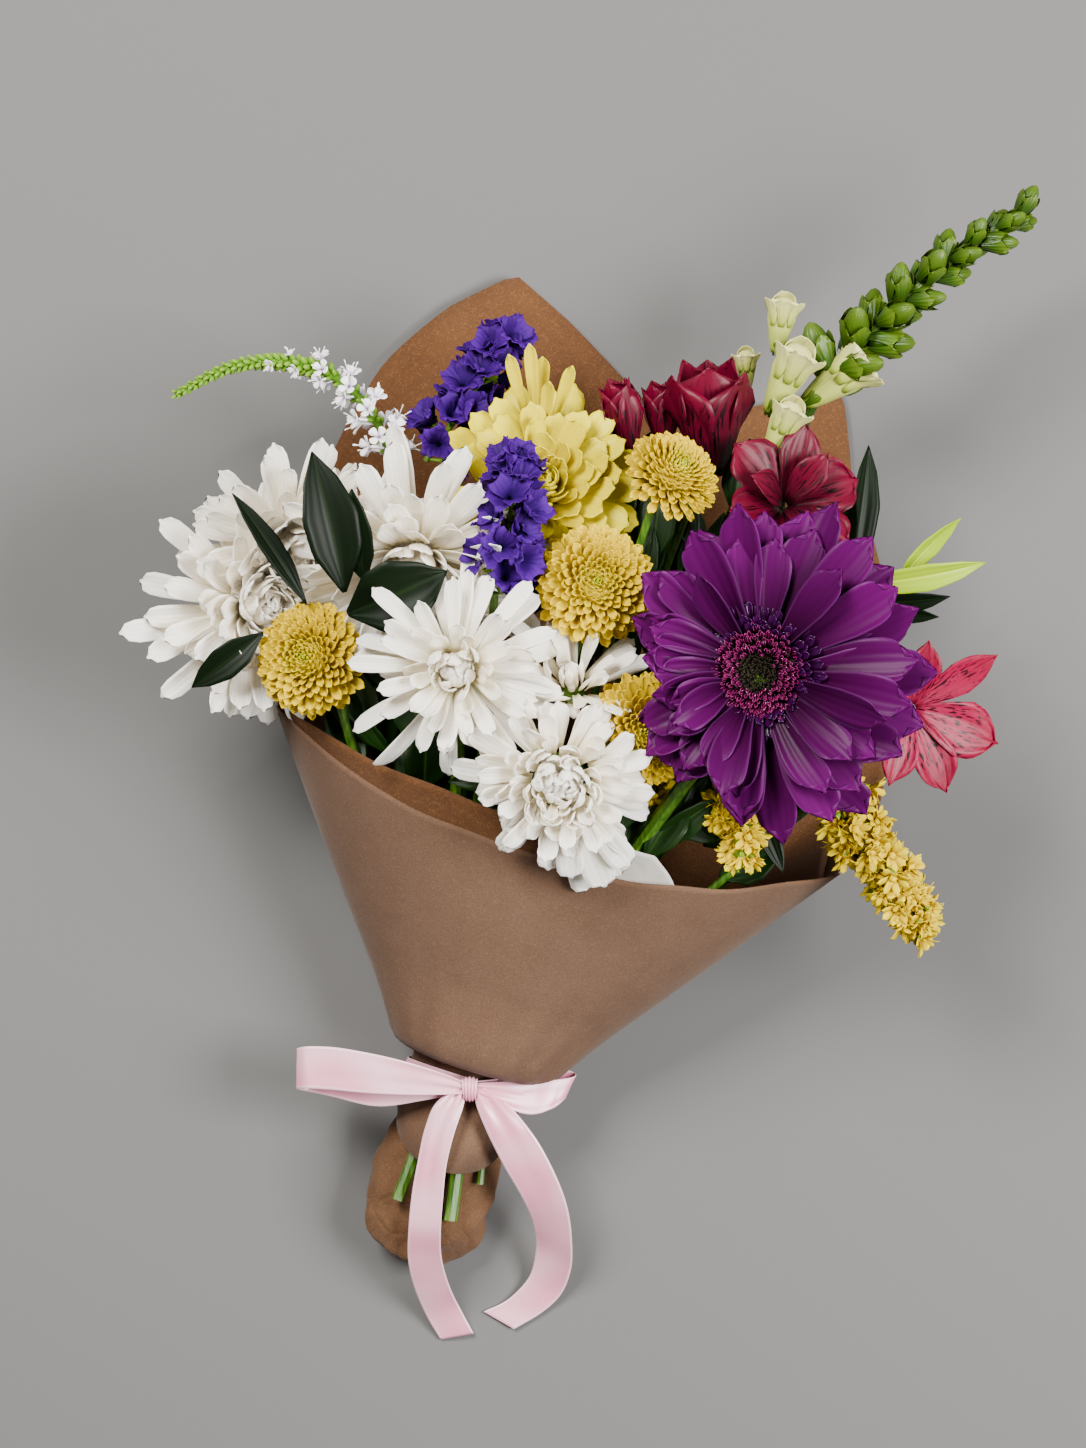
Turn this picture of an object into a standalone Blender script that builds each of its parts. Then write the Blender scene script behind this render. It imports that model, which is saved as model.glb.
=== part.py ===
"""Mixed flower bouquet in a kraft paper cone, tied with a satin ribbon and lying on its back.

The model is laid out in millimetres from the knot of the ribbon: +X to the bouquet's right, +Y from the
stem ends to the flower heads, +Z up from the surface it lies on. The whole bunch is moved at the end, so
that the origin is below the middle of its box.
"""
import math

import bmesh
import bpy
import numpy as np
from mathutils import Vector

MM = 0.001
GAP = 0.4                        # clearance between touching pieces

# The paper cone: stations along its axis, with length 0 at the knot.
AXIS_TILT = math.radians(17.0)   # the cone leans to the right of the stems
AXIS = Vector((math.sin(AXIS_TILT), math.cos(AXIS_TILT), 0.0))
SIDE = Vector((math.cos(AXIS_TILT), -math.sin(AXIS_TILT), 0.0))
NECK_HALF_WIDTH = 24.0
NECK_LOW = 1.9
NECK_HIGH = 40.0
NECK_HALF_LENGTH = 5.0
CONE_START = 16.0                # above the neck the paper runs straight to its rim
CONE_APEX = -34.8
CONE_SPREAD = 0.747              # half width gained for each millimetre of axis
CONE_TOP_START = 56.0
CONE_TOP_RISE = 0.58
COLLAR_LENGTH = 30.0             # the outer sheet's flap below the knot, on the front only
COLLAR_HIGH = 43.0
NECK_END = -8.0
SIDE_RIM = 122.0                 # axis length of the rim at both sides of the cone
PAPER = 0.9
SHEET_STEP = 2.2                 # from one paper layer to the next inner one

# The foot, where a pouch of the same paper holds the cut stems.
POUCH_STATIONS = (-80, -76, -66, -46, -20, -10, 4)
POUCH_HALF_WIDTHS = (5, 15, 24, 26, 21, 20, 20)
POUCH_LOWS = (11, 6, 0.8, 0.8, 4.5, 5.8, 5.8)
POUCH_HIGHS = (20, 25, 30, 31, 29, 27, 26.5)
POUCH_BEND = 10.0                # how far the bottom of the foot comes back to the right
STEM_END = -62.0

# Ribbon
RIBBON_WIDTH = 16.0
RIBBON = 0.7

# Colours, roughness
KRAFT = ("#9C7355", 0.8)
TISSUE = ("#D9DAD6", 0.6)
SATIN = ("#D9AEB9", 0.35)
WHITE_PETAL = ("#F4F1E6", 0.6)
YELLOW_PETAL = ("#F5DD10", 0.55)
POMPON_GOLD = ("#F7B800", 0.6)
VIOLET_PETAL = ("#6A1499", 0.55)
DISC_PURPLE = ("#5A0F45", 0.7)
STATICE_BLUE = ("#4426B0", 0.65)
CRIMSON = ("#A61744", 0.5)
SNAP_GREEN = ("#8FB02E", 0.5)
SPIKE_GREEN = ("#A6BC5A", 0.6)
GOLDENROD = ("#F2C500", 0.7)
DARK_LEAF = ("#12280F", 0.35)
LIGHT_LEAF = ("#8FAE28", 0.45)
STEM_GREEN = ("#5C8A14", 0.5)


def material(finish):
    """Gives the shared Principled material for a (hex colour, roughness) finish."""
    colour, roughness = finish
    found = bpy.data.materials.get(colour)
    if found:
        return found
    made = bpy.data.materials.new(colour)
    made.use_nodes = True
    shader = made.node_tree.nodes["Principled BSDF"]
    channels = [int(colour[i:i + 2], 16) / 255 for i in (1, 3, 5)]
    linear = [c / 12.92 if c <= 0.04045 else ((c + 0.055) / 1.055) ** 2.4 for c in channels]
    shader.inputs["Base Color"].default_value = (*linear, 1.0)
    shader.inputs["Roughness"].default_value = roughness
    shader.inputs["Metallic"].default_value = 0.0
    return made


def add_part(name, data, finish):
    """Puts one named piece into the bouquet's collection."""
    part = bpy.data.objects.new(name, data)
    data.materials.append(material(finish))
    bouquet.objects.link(part)
    return part


def add_mesh(name, bm, finish):
    """Turns a bmesh in millimetres into a smooth-shaded piece in metres."""
    bmesh.ops.scale(bm, vec=(MM, MM, MM), verts=bm.verts)
    mesh = bpy.data.meshes.new(name)
    bm.to_mesh(mesh)
    bm.free()
    mesh.shade_smooth()
    return add_part(name, mesh, finish)


def sheet(name, columns, rows, place, thickness, finish):
    """A thin sheet: a grid whose vertices go where place(across, along) says, both from 0 to 1."""
    bm = bmesh.new()
    bmesh.ops.create_grid(bm, x_segments=columns, y_segments=rows, size=0.5)
    for vert in bm.verts:
        vert.co = place(vert.co.x + 0.5, vert.co.y + 0.5)
    bmesh.ops.remove_doubles(bm, verts=bm.verts, dist=0.01)
    part = add_mesh(name, bm, finish)
    shell = part.modifiers.new("thickness", "SOLIDIFY")
    shell.thickness = thickness * MM
    shell.offset = 1.0
    return part


def tube(name, points, radii, finish, sides=8):
    """A round stem or spike through the points, with its own radius at each."""
    curve = bpy.data.curves.new(name, "CURVE")
    curve.dimensions = "3D"
    curve.bevel_depth = MM
    curve.bevel_resolution = (sides - 4) // 2
    curve.use_fill_caps = True
    spline = curve.splines.new("POLY")
    spline.points.add(len(points) - 1)
    for knot, point, radius in zip(spline.points, points, radii):
        knot.co = (*(Vector(point) * MM), 1.0)
        knot.radius = radius
    return add_part(name, curve, finish)


def bloom(name, centre, facing, radius, rise, petals, depth, finish):
    """A flower head: a dome with one lobe for each of its outer petals, looking along facing."""
    bm = bmesh.new()
    bmesh.ops.create_uvsphere(bm, u_segments=2 * petals, v_segments=7, radius=1.0)
    for vert in bm.verts:
        around = math.atan2(vert.co.y, vert.co.x)
        spread = radius * (1 - depth + depth * math.cos(petals * around))
        height = rise if vert.co.z > 0 else 0.4 * rise
        vert.co = Vector((vert.co.x * spread, vert.co.y * spread, vert.co.z * height))
    turn = Vector((0, 0, 1)).rotation_difference(Vector(facing))
    bmesh.ops.rotate(bm, cent=(0, 0, 0), matrix=turn.to_matrix(), verts=bm.verts)
    bmesh.ops.translate(bm, vec=centre, verts=bm.verts)
    return add_mesh(name, bm, finish)


# ---------------------------------------------------------------------------------------- paper cone

def axis_point(length):
    """The middle line of the bouquet on the surface, from the knot."""
    bend = POUCH_BEND * max(0.0, (-45.0 - length) / 35.0) ** 2
    return AXIS * length + Vector((bend, 0, 0))


def paper_section(length, inset):
    """Half width, lowest and highest point of the cone at one station."""
    stations = (NECK_END - COLLAR_LENGTH, -NECK_HALF_LENGTH, NECK_HALF_LENGTH, CONE_START)
    start_half_width = CONE_SPREAD * (CONE_START - CONE_APEX)
    neck = NECK_HALF_WIDTH
    half_width = np.interp(length, stations, (neck, neck, neck, start_half_width))
    low = np.interp(length, stations, (NECK_LOW, NECK_LOW, NECK_LOW, 0.0))
    high = np.interp(length, stations, (COLLAR_HIGH, NECK_HIGH, NECK_HIGH, CONE_TOP_START))
    beyond = max(0.0, length - CONE_START)
    half_width += CONE_SPREAD * beyond
    high += CONE_TOP_RISE * beyond
    return half_width - inset, low + inset, high - inset


def paper_point(across, up, length, inset=0.0):
    """A point of the paper: across and up are -1..1 within the section at that length."""
    half_width, low, high = paper_section(length, inset)
    height = (low + high) / 2 + up * (high - low) / 2
    return axis_point(length) + SIDE * (across * half_width) + Vector((0, 0, height))


def around_section(turn):
    """Goes once round the section, from its right over the top: round above and flat below."""
    if turn <= 0.5:
        angle = turn * 2 * math.pi
        return math.cos(angle), math.sin(angle)
    below = (turn - 0.5) * 2
    corner = 0.2
    if corner < below < 1 - corner:
        return -0.8 + 1.6 * (below - corner) / (1 - 2 * corner), -1.0
    near = below / corner if below <= corner else (1 - below) / corner
    angle = near * math.pi / 2
    across = 0.8 + 0.2 * math.cos(angle)
    return (-across if below <= corner else across), -math.sin(angle)


def front_rim(across, middle, side_power):
    """The front edge of a sheet dips from both sides to its middle."""
    return middle + (SIDE_RIM - middle) * abs(across) ** side_power


def paper_cone(name, inset, collar, middle_rim, side_power, back_outline, columns):
    """One sheet of kraft paper rolled round the bunch, with its back left long."""
    back_across = [point[0] for point in back_outline]
    back_length = [point[1] for point in back_outline]
    shares = (0.0, 0.22, 0.6, 1.0)
    rows = len(shares) + 2

    def place(turn, along):
        across, up = around_section(turn % 1.0)
        if up >= 0:
            rim = front_rim(across, middle_rim, side_power)
        else:
            rim = np.interp(across, back_across, back_length)
        start = NECK_END - collar * max(0.0, up) ** 0.5
        lengths = [start, -NECK_HALF_LENGTH, NECK_HALF_LENGTH]
        lengths += [CONE_START + share * (rim - CONE_START) for share in shares]
        return paper_point(across, up, lengths[round(along * rows)], inset)

    return sheet(name, columns, rows, place, PAPER, KRAFT)


def make_paper():
    """Two rolled sheets, the pouch round the cut stems and a strip of tissue inside the mouth."""
    outer_back = [(-1, SIDE_RIM), (-0.7, 190), (-0.2, 245), (0.25, 305), (0.34, 271), (0.94, 148), (1, SIDE_RIM)]
    paper_cone("wrapper_outer", 0.0, COLLAR_LENGTH, 96.0, 3.5, outer_back, 48)
    inner_back = [(-1, SIDE_RIM), (-0.66, 220), (-0.4, 287), (-0.3, 309), (0.07, 265), (0.6, 195), (1, 118)]
    paper_cone("wrapper_inner", SHEET_STEP, 0.0, 108.0, 3.0, inner_back, 48)

    def pouch_place(turn, along):
        length = POUCH_STATIONS[round(along * (len(POUCH_STATIONS) - 1))]
        half_width = np.interp(length, POUCH_STATIONS, POUCH_HALF_WIDTHS)
        low = np.interp(length, POUCH_STATIONS, POUCH_LOWS)
        high = np.interp(length, POUCH_STATIONS, POUCH_HIGHS)
        across, up = around_section(turn % 1.0)
        height = (low + high) / 2 + up * (high - low) / 2
        return axis_point(length) + SIDE * (across * half_width) + Vector((0, 0, height))

    pouch = sheet("foot_pouch", 24, len(POUCH_STATIONS) - 1, pouch_place, PAPER, KRAFT)
    close_foot(pouch.data)

    def tissue_place(across, along):
        turn = 0.06 + 0.13 * across
        right, up = around_section(turn)
        rim = front_rim(right, 108.0, 3.0) + 6.0
        return paper_point(right, up, 70 + (rim - 70) * along, 2 * SHEET_STEP)

    sheet("tissue_liner", 8, 3, tissue_place, 0.6, TISSUE)


def close_foot(mesh):
    """Closes the bottom of the pouch, whose folded end is the lowest ring of the sheet."""
    bm = bmesh.new()
    bm.from_mesh(mesh)
    ends = [edge for edge in bm.edges if edge.is_boundary]
    foot_end = [edge for edge in ends if all(vert.co.y < -60 * MM for vert in edge.verts)]
    bottom = bmesh.ops.contextual_create(bm, geom=foot_end)["faces"]
    bmesh.ops.recalc_face_normals(bm, faces=bm.faces)
    if bottom[0].normal.y < 0:
        bmesh.ops.reverse_faces(bm, faces=bm.faces)
    bm.to_mesh(mesh)
    bm.free()
    mesh.shade_smooth()


# -------------------------------------------------------------------------------------------- ribbon

def strip(name, points, width, across=None):
    """A stretch of ribbon through the points; across is its width's direction, or level if not given."""
    points = [Vector(point) for point in points]
    last = len(points) - 1

    def place(side, along):
        index = round(along * last)
        tangent = points[min(index + 1, last)] - points[max(index - 1, 0)]
        level = across or tangent.cross(Vector((0, 0, 1)))
        return points[index] + level.normalized() * ((side - 0.5) * width)

    return sheet(name, 1, last, place, RIBBON, SATIN)


def make_ribbon():
    """A ribbon round the neck of the cone, tied in a bow whose tails run down over the foot."""
    def band_place(turn, along):
        across, up = around_section(turn % 1.0)
        return paper_point(across, up, (along - 0.5) * 8.0, -(GAP + RIBBON))

    sheet("ribbon_band", 32, 1, band_place, RIBBON, SATIN)
    bloom("ribbon_knot", (0, -1, 44.6), (0, 0, 1), 8.0, 5.5, 4, 0.05, SATIN)
    left_loop = [(-9.0, 0, 43.4), (-24, 2, 42.6), (-44, 6, 41), (-60, 8, 40), (-67, 8.5, 43),
                 (-64, 8.5, 47), (-48, 7, 49.5), (-28, 3, 49), (-9.0, 0, 47)]
    strip("ribbon_loop_left", left_loop, RIBBON_WIDTH - 2, Vector((0.1, 1, 0)))
    right_loop = [(9.0, -6, 43.4), (20, -10, 42.4), (31, -14, 36), (39, -14, 31), (43.5, -13, 33),
                  (41, -13, 39), (33, -13.5, 44), (21, -10, 48), (9.0, -6, 47.4)]
    strip("ribbon_loop_right", right_loop, 11.0, Vector((0.25, 1, 0)))
    left_tail = [(-5, -11, 45.5), (-10, -20, 46), (-14.5, -37, 46), (-17, -55, 40), (-17.5, -70, 35),
                 (-16.5, -82, 27), (-14, -92, 14), (-9, -101, 4), (-4.5, -108, 1.6)]
    strip("ribbon_tail_left", left_tail, RIBBON_WIDTH - 3)
    right_tail = [(9, -11.5, 45.5), (15.5, -19.5, 45.5), (22.5, -32, 42), (29.5, -49, 28), (33.5, -66, 13),
                  (33.5, -79, 4), (28, -91, 1.6), (19, -98.5, 1.6), (12, -101, 1.6)]
    strip("ribbon_tail_right", right_tail, RIBBON_WIDTH - 3)


# ------------------------------------------------------------------------------------------- flowers

# name: centre, facing, radius, rise, petals, lobe depth, finish
BLOOMS = {
    "white_mum_left": ((-98, 187, 72), (-0.55, 0.05, 0.83), 24, 15, 12, 0.06, WHITE_PETAL),
    "white_mum_back": ((-67, 224, 74), (-0.4, 0.4, 0.82), 22, 14, 12, 0.06, WHITE_PETAL),
    "white_mum_top": ((-18, 211, 92), (-0.1, 0.3, 0.95), 26, 15, 12, 0.06, WHITE_PETAL),
    "white_mum_centre": ((-2, 162, 128), (-0.05, -0.1, 0.99), 29, 15, 12, 0.06, WHITE_PETAL),
    "white_mum_low": ((37, 115, 128), (0.05, -0.3, 0.95), 25, 14, 12, 0.06, WHITE_PETAL),
    "white_mum_mid": ((45, 153, 120), (0, 0.1, 1), 11, 8, 8, 0.08, WHITE_PETAL),
    "yellow_mum": ((33, 247, 78), (0, 0.3, 0.95), 26, 15, 14, 0.06, YELLOW_PETAL),
    "pompon_left": ((-58, 167, 112), (-0.25, -0.1, 0.96), 22, 14, 10, 0.03, POMPON_GOLD),
    "pompon_mid": ((50, 195, 120), (0, 0, 1), 22, 14, 10, 0.03, POMPON_GOLD),
    "pompon_top": ((79, 237, 112), (0.4, 0.35, 0.85), 18, 12, 10, 0.03, POMPON_GOLD),
    "pompon_low": ((70, 140, 98), (0.05, -0.15, 0.98), 21, 14, 10, 0.03, POMPON_GOLD),
    "alstroemeria_goblet": ((95, 265, 64), (-0.15, 0.9, 0.42), 15, 22, 6, 0.1, CRIMSON),
    "alstroemeria_bud": ((65, 269, 56), (-0.2, 0.9, 0.35), 8, 14, 6, 0.08, CRIMSON),
    "alstroemeria_open": ((125, 230, 86), (0.2, 0.2, 0.95), 17, 9, 6, 0.1, CRIMSON),
    "alstroemeria_right": ((187, 148, 78), (0.5, -0.25, 0.83), 19, 9, 6, 0.1, CRIMSON),
}


def make_gerbera():
    """The large violet daisy: a shallow dish of petals with the dark disc sitting in its middle."""
    centre = Vector((113, 162, 136))
    facing = Vector((-0.2, -0.1, 0.97)).normalized()
    outer, cup, floor = 51.0, 16.0, 1.0
    petals = 20
    bm = bmesh.new()
    bmesh.ops.create_uvsphere(bm, u_segments=2 * petals, v_segments=14, radius=1.0)
    for vert in bm.verts:
        flat = Vector((vert.co.x, vert.co.y, 0))
        around = math.atan2(vert.co.y, vert.co.x)
        reach = outer * flat.length * (0.96 + 0.04 * math.cos(petals * around))
        height = 6.0 * vert.co.z
        if vert.co.z > 0 and reach < cup:
            height = floor
        elif vert.co.z > 0:
            height = max(height, floor)
        vert.co = flat.normalized() * reach + Vector((0, 0, height))
    turn = Vector((0, 0, 1)).rotation_difference(facing)
    bmesh.ops.rotate(bm, cent=(0, 0, 0), matrix=turn.to_matrix(), verts=bm.verts)
    bmesh.ops.translate(bm, vec=centre, verts=bm.verts)
    add_mesh("gerbera_petals", bm, VIOLET_PETAL)
    bloom("gerbera_disc", centre + facing * 4.6, facing, 12.5, 4.0, 12, 0.02, DISC_PURPLE)


def spike(name, points, thick, thin, finish, beads=9):
    """A flower spike along a bent line, beaded by its florets and tapering to its tip."""
    line = [Vector(point) for point in points]
    steps = 2 * beads
    route, radii = [], []
    for step in range(steps + 1):
        share = step / steps
        place = share * (len(line) - 1)
        index = min(int(place), len(line) - 2)
        route.append(line[index].lerp(line[index + 1], place - index))
        bead = 1.0 if step % 2 else 0.78
        radii.append((thick + (thin - thick) * share) * bead)
    return tube(name, route, radii, finish)


def make_spikes():
    """Long flower heads that run along their stems."""
    spike("statice_top", [(-9, 258, 54), (2, 276, 54), (14, 294, 52)], 11, 6, STATICE_BLUE, 4)
    spike("statice_mid", [(14, 200, 125), (16, 225, 123), (14, 245, 120)], 10, 7, STATICE_BLUE, 4)
    snapdragon = [(133, 262, 62), (147, 284, 70), (168, 304, 75), (192, 325, 78), (215, 339, 80)]
    spike("snapdragon", snapdragon, 13, 4, SNAP_GREEN, 8)
    veronica = [(-30, 250, 60), (-39, 269, 64), (-56, 284, 66), (-79, 285, 66), (-112, 275, 64)]
    spike("veronica", veronica, 6, 2, SPIKE_GREEN, 8)
    spike("goldenrod_right", [(148, 112, 88), (163, 90, 86), (182, 62, 82)], 10, 5.5, GOLDENROD, 4)
    spike("goldenrod_left", [(108, 108, 92), (107, 94, 97)], 7, 5, GOLDENROD, 2)


# -------------------------------------------------------------------------------------------- leaves

# name: base, tip, width, how far the middle is lifted, finish
LEAVES = {
    "ruscus_leaf_tall": ((-48, 195, 123), (-57, 243, 126), 19, 3, DARK_LEAF),
    "ruscus_leaf_short": ((-41, 200, 120), (-43, 230, 120), 11, 2, DARK_LEAF),
    "ruscus_leaf_cross": ((-36, 191, 124), (-10, 197, 126), 20, 3, DARK_LEAF),
    "ruscus_leaf_thin": ((-62, 196, 116), (-86, 224, 112), 8, 2, DARK_LEAF),
    "ruscus_leaf_low": ((-83, 163, 102), (-103, 155, 96), 13, 2, DARK_LEAF),
    "ruscus_leaf_right": ((151, 209, 60), (156, 252, 56), 15, 2, DARK_LEAF),
    "ruscus_leaf_far_right": ((137, 206, 50), (142, 242, 46), 13, 2, DARK_LEAF),
    "alstroemeria_leaf_wide": ((171, 194, 84), (201, 201, 82), 10, 3, LIGHT_LEAF),
    "alstroemeria_leaf_thin": ((170, 201, 78), (193, 218, 80), 8, 3, LIGHT_LEAF),
    "mum_leaf_front": ((24, 143, 103), (5, 126, 105), 13, 2, DARK_LEAF),
    "mum_leaf_mouth": ((95, 122, 84), (86, 102, 88), 13, 2, DARK_LEAF),
}


def leaf(name, base, tip, width, lift, finish):
    """A pointed blade with a shallow fold along its midrib."""
    base, tip = Vector(base), Vector(tip)
    level = (tip - base).cross(Vector((0, 0, 1))).normalized()

    def place(side, along):
        half = 0.5 * width * (0.08 + 0.92 * math.sin(math.pi * min(0.96, along) ** 0.8))
        fold = abs(side - 0.5) * 0.12 * width
        rise = lift * math.sin(math.pi * along) + fold
        return base.lerp(tip, along) + level * ((2 * side - 1) * half) + Vector((0, 0, rise))

    sheet(name, 2, 7, place, 0.8, finish)


# --------------------------------------------------------------------------------------------- stems

# name of the head it carries: where it meets the head, radius, place in the neck (across, height)
STEMS = {
    "veronica": ((-27, 243, 57), 1.5, (-13, 9.5)),
    "yellow_mum": ((33, 241, 69), 2.2, (-6.5, 10)),
    "alstroemeria": ((93, 242, 58), 2.2, (1, 10)),
    "snapdragon": ((129, 255, 58), 2.5, (8, 10.5)),
    "alstroemeria_right": ((173, 145, 69), 2.0, (15, 11)),
    "white_mum_left": ((-82, 183, 58), 2.0, (-15, 15)),
    "white_mum_top": ((-15, 203, 81), 2.0, (-8.5, 15.8)),
    "pompon_mid": ((49, 193, 111), 1.8, (-2.5, 17)),
    "pompon_top": ((74, 231, 102), 1.6, (3.5, 16)),
    "pompon_low": ((68, 138, 88), 1.8, (10, 18)),
    "pompon_left": ((-52, 165, 103), 1.8, (-12, 19)),
    "statice": ((12, 192, 118), 1.6, (-6, 22)),
    "white_mum_low": ((36, 124, 114), 2.0, (0.5, 21)),
}
# Three stems lie in front of the pouch and show below the collar: foot end, place at the knot, head, radius.
SHOWN_STEMS = {
    "white_mum_centre": ((-28, -49, 34.8), (-8.5, 2, 28.3), (-1, 158, 118), 2.5),
    "gerbera": ((-7, -57, 36), (1, 2, 32), (114, 160, 127), 3.0),
    "goldenrod": ((5, -43, 31), (10, 2, 29.5), (138, 113, 87), 1.5),
}


def make_stems():
    """Every stem runs nearly straight from its flower through the neck into the foot."""
    for name, (head, radius, (across, height)) in STEMS.items():
        neck = axis_point(2.0) + SIDE * across + Vector((0, 0, height))
        foot = axis_point(STEM_END) + SIDE * across + Vector((0, 0, height))
        tube(name + "_stem", [foot, neck, head], [radius] * 3, STEM_GREEN)
    for name, (foot, neck, head, radius) in SHOWN_STEMS.items():
        tube(name + "_stem", [foot, neck, head], [radius] * 3, STEM_GREEN)


# --------------------------------------------------------------------------------- the whole bouquet

def centre_on_surface():
    """Hangs every piece on one empty and brings the middle of the box's bottom to the origin."""
    bpy.context.view_layer.update()
    graph = bpy.context.evaluated_depsgraph_get()
    corners = []
    for part in bouquet.objects:
        evaluated = part.evaluated_get(graph)
        mesh = evaluated.to_mesh()
        corners += [part.matrix_world @ vert.co for vert in mesh.vertices]
        evaluated.to_mesh_clear()
    low = [min(corner[axis] for corner in corners) for axis in range(3)]
    high = [max(corner[axis] for corner in corners) for axis in range(3)]
    holder = bpy.data.objects.new("bouquet_origin", None)
    for part in list(bouquet.objects):
        part.parent = holder
    bouquet.objects.link(holder)
    holder.location = (-(low[0] + high[0]) / 2, -(low[1] + high[1]) / 2, -low[2])


for old in list(bpy.data.objects):
    bpy.data.objects.remove(old)
bouquet = bpy.data.collections.new("mixed_flower_bouquet")
bpy.context.scene.collection.children.link(bouquet)

make_paper()
make_ribbon()
for bloom_name, shape in BLOOMS.items():
    bloom(bloom_name, *shape)
make_gerbera()
make_spikes()
for leaf_name, blade in LEAVES.items():
    leaf(leaf_name, *blade)
make_stems()
centre_on_surface()
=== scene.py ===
import math

import bpy
import numpy as np
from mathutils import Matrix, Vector


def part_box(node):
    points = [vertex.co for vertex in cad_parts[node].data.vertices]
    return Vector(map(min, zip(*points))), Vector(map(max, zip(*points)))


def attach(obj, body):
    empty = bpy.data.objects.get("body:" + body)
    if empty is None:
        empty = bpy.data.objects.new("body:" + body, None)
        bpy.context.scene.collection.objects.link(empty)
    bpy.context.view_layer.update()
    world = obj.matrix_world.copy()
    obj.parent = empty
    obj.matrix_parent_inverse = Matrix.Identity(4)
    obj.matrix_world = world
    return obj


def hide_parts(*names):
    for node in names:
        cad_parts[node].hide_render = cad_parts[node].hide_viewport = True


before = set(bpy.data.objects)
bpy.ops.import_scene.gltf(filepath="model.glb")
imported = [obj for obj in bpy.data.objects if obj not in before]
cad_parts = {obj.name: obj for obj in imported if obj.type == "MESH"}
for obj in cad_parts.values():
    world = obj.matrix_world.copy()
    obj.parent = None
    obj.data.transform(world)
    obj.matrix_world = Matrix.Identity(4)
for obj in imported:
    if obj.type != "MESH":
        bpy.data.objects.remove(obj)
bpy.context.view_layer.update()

# ------------------------------------------------------------------------------- stage, light, camera
# The bouquet lies on its back on a plain pale floor and is seen from straight above, under two large
# soft lights from the upper left and the right, and an even grey surround.

knot_low, knot_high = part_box("ribbon_knot")
MM = 0.001
# Everything is measured from the tie, a millimetre above the middle of the knot, and from the floor.
TIE = np.array([(knot_low[0] + knot_high[0]) / 2, (knot_low[1] + knot_high[1]) / 2 + MM, 0.0])


def linear(hex_colour):
    """An sRGB hex colour as linear RGBA."""
    channels = [int(hex_colour[i:i + 2], 16) / 255 for i in (1, 3, 5)]
    return (*[c / 12.92 if c <= 0.04045 else ((c + 0.055) / 1.055) ** 2.4 for c in channels], 1.0)


def new_material(name, **sockets):
    """A material whose Principled shader has these numbers on its own sockets."""
    material = bpy.data.materials.new(name)
    material.use_nodes = True
    shader = material.node_tree.nodes["Principled BSDF"]
    for socket, value in sockets.items():
        shader.inputs[socket.replace("_", " ")].default_value = value
    return material


def output_of(source):
    """A node stands for its first output in use; anything else stands for itself."""
    return next(output for output in source.outputs if output.enabled) if isinstance(source, bpy.types.Node) else source


def add_node(material, kind, inputs=None, stops=(), **settings):
    """Adds a shader node with its settings and links; stops are the places and colours of a colour ramp."""
    node = material.node_tree.nodes.new("ShaderNode" + kind)
    for name, value in settings.items():
        setattr(node, name, value)
    for name, value in (inputs or {}).items():
        value = output_of(value)
        if isinstance(value, bpy.types.NodeSocket):
            material.node_tree.links.new(value, node.inputs[name])
        else:
            node.inputs[name].default_value = value
    if stops:
        elements = node.color_ramp.elements
        elements[0].position, elements[1].position = stops[0][0], stops[-1][0]
        for place, _ in stops[1:-1]:
            elements.new(place)
        for element, (_, colour) in zip(elements, stops):
            element.color = linear(colour)
    return node


def to_shader(material, **sources):
    """Links nodes to the Principled shader's sockets."""
    shader = material.node_tree.nodes["Principled BSDF"]
    for socket, source in sources.items():
        material.node_tree.links.new(output_of(source), shader.inputs[socket.replace("_", " ")])


def make_stage():
    """A seamless pale floor that reaches well beyond the view."""
    bpy.ops.mesh.primitive_plane_add(size=30.0, location=(0, 0, -0.0002))
    floor = bpy.context.object
    floor.name = "floor"
    paint = new_material("matt_pale_grey_paint", Base_Color=linear("#606060"), Roughness=0.85)
    floor.data.materials.append(paint)


def add_light(name, place, size, power, colour):
    """A square soft box that shines on the middle of the bouquet."""
    light = bpy.data.lights.new(name, "AREA")
    light.size = size
    light.energy = power
    light.color = colour
    lamp = bpy.data.objects.new(name, light)
    lamp.location = place
    lamp.rotation_euler = (-Vector(place)).to_track_quat("-Z", "Y").to_euler()
    bpy.context.scene.collection.objects.link(lamp)


def make_camera():
    """Straight above, with the long side of the picture along the bouquet."""
    camera = bpy.data.cameras.new("camera")
    camera.sensor_width = 36.0
    camera.lens = 102.0
    holder = bpy.data.objects.new("camera", camera)
    right_of_tie, above_tie, height = 0.0304, 0.142, 1.68
    holder.location = TIE + np.array([right_of_tie, above_tie, height])
    bpy.context.scene.collection.objects.link(holder)
    bpy.context.scene.camera = holder


make_stage()
add_light("key_soft_box", (-0.6, 0.75, 1.3), 0.6, 54.0, (1.0, 0.965, 0.91))
add_light("fill_soft_box", (1.0, 0.0, 1.15), 0.7, 56.0, (1.0, 0.98, 0.95))
world = bpy.data.worlds.new("surround")
world.use_nodes = True
world.node_tree.nodes["Background"].inputs["Color"].default_value = linear("#D0CCC8")
world.node_tree.nodes["Background"].inputs["Strength"].default_value = 0.38
bpy.context.scene.world = world
make_camera()

# ------------------------------------------------------------------------------------ the paper cone
# Two sheets of uncoated kraft paper rolled into a cone, greyer on the outer face, with their backs left
# long as two peaks behind the flowers. The neck is gathered by the ribbon, so pleats run up from it and
# the front panel bellies over the knot.

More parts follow.
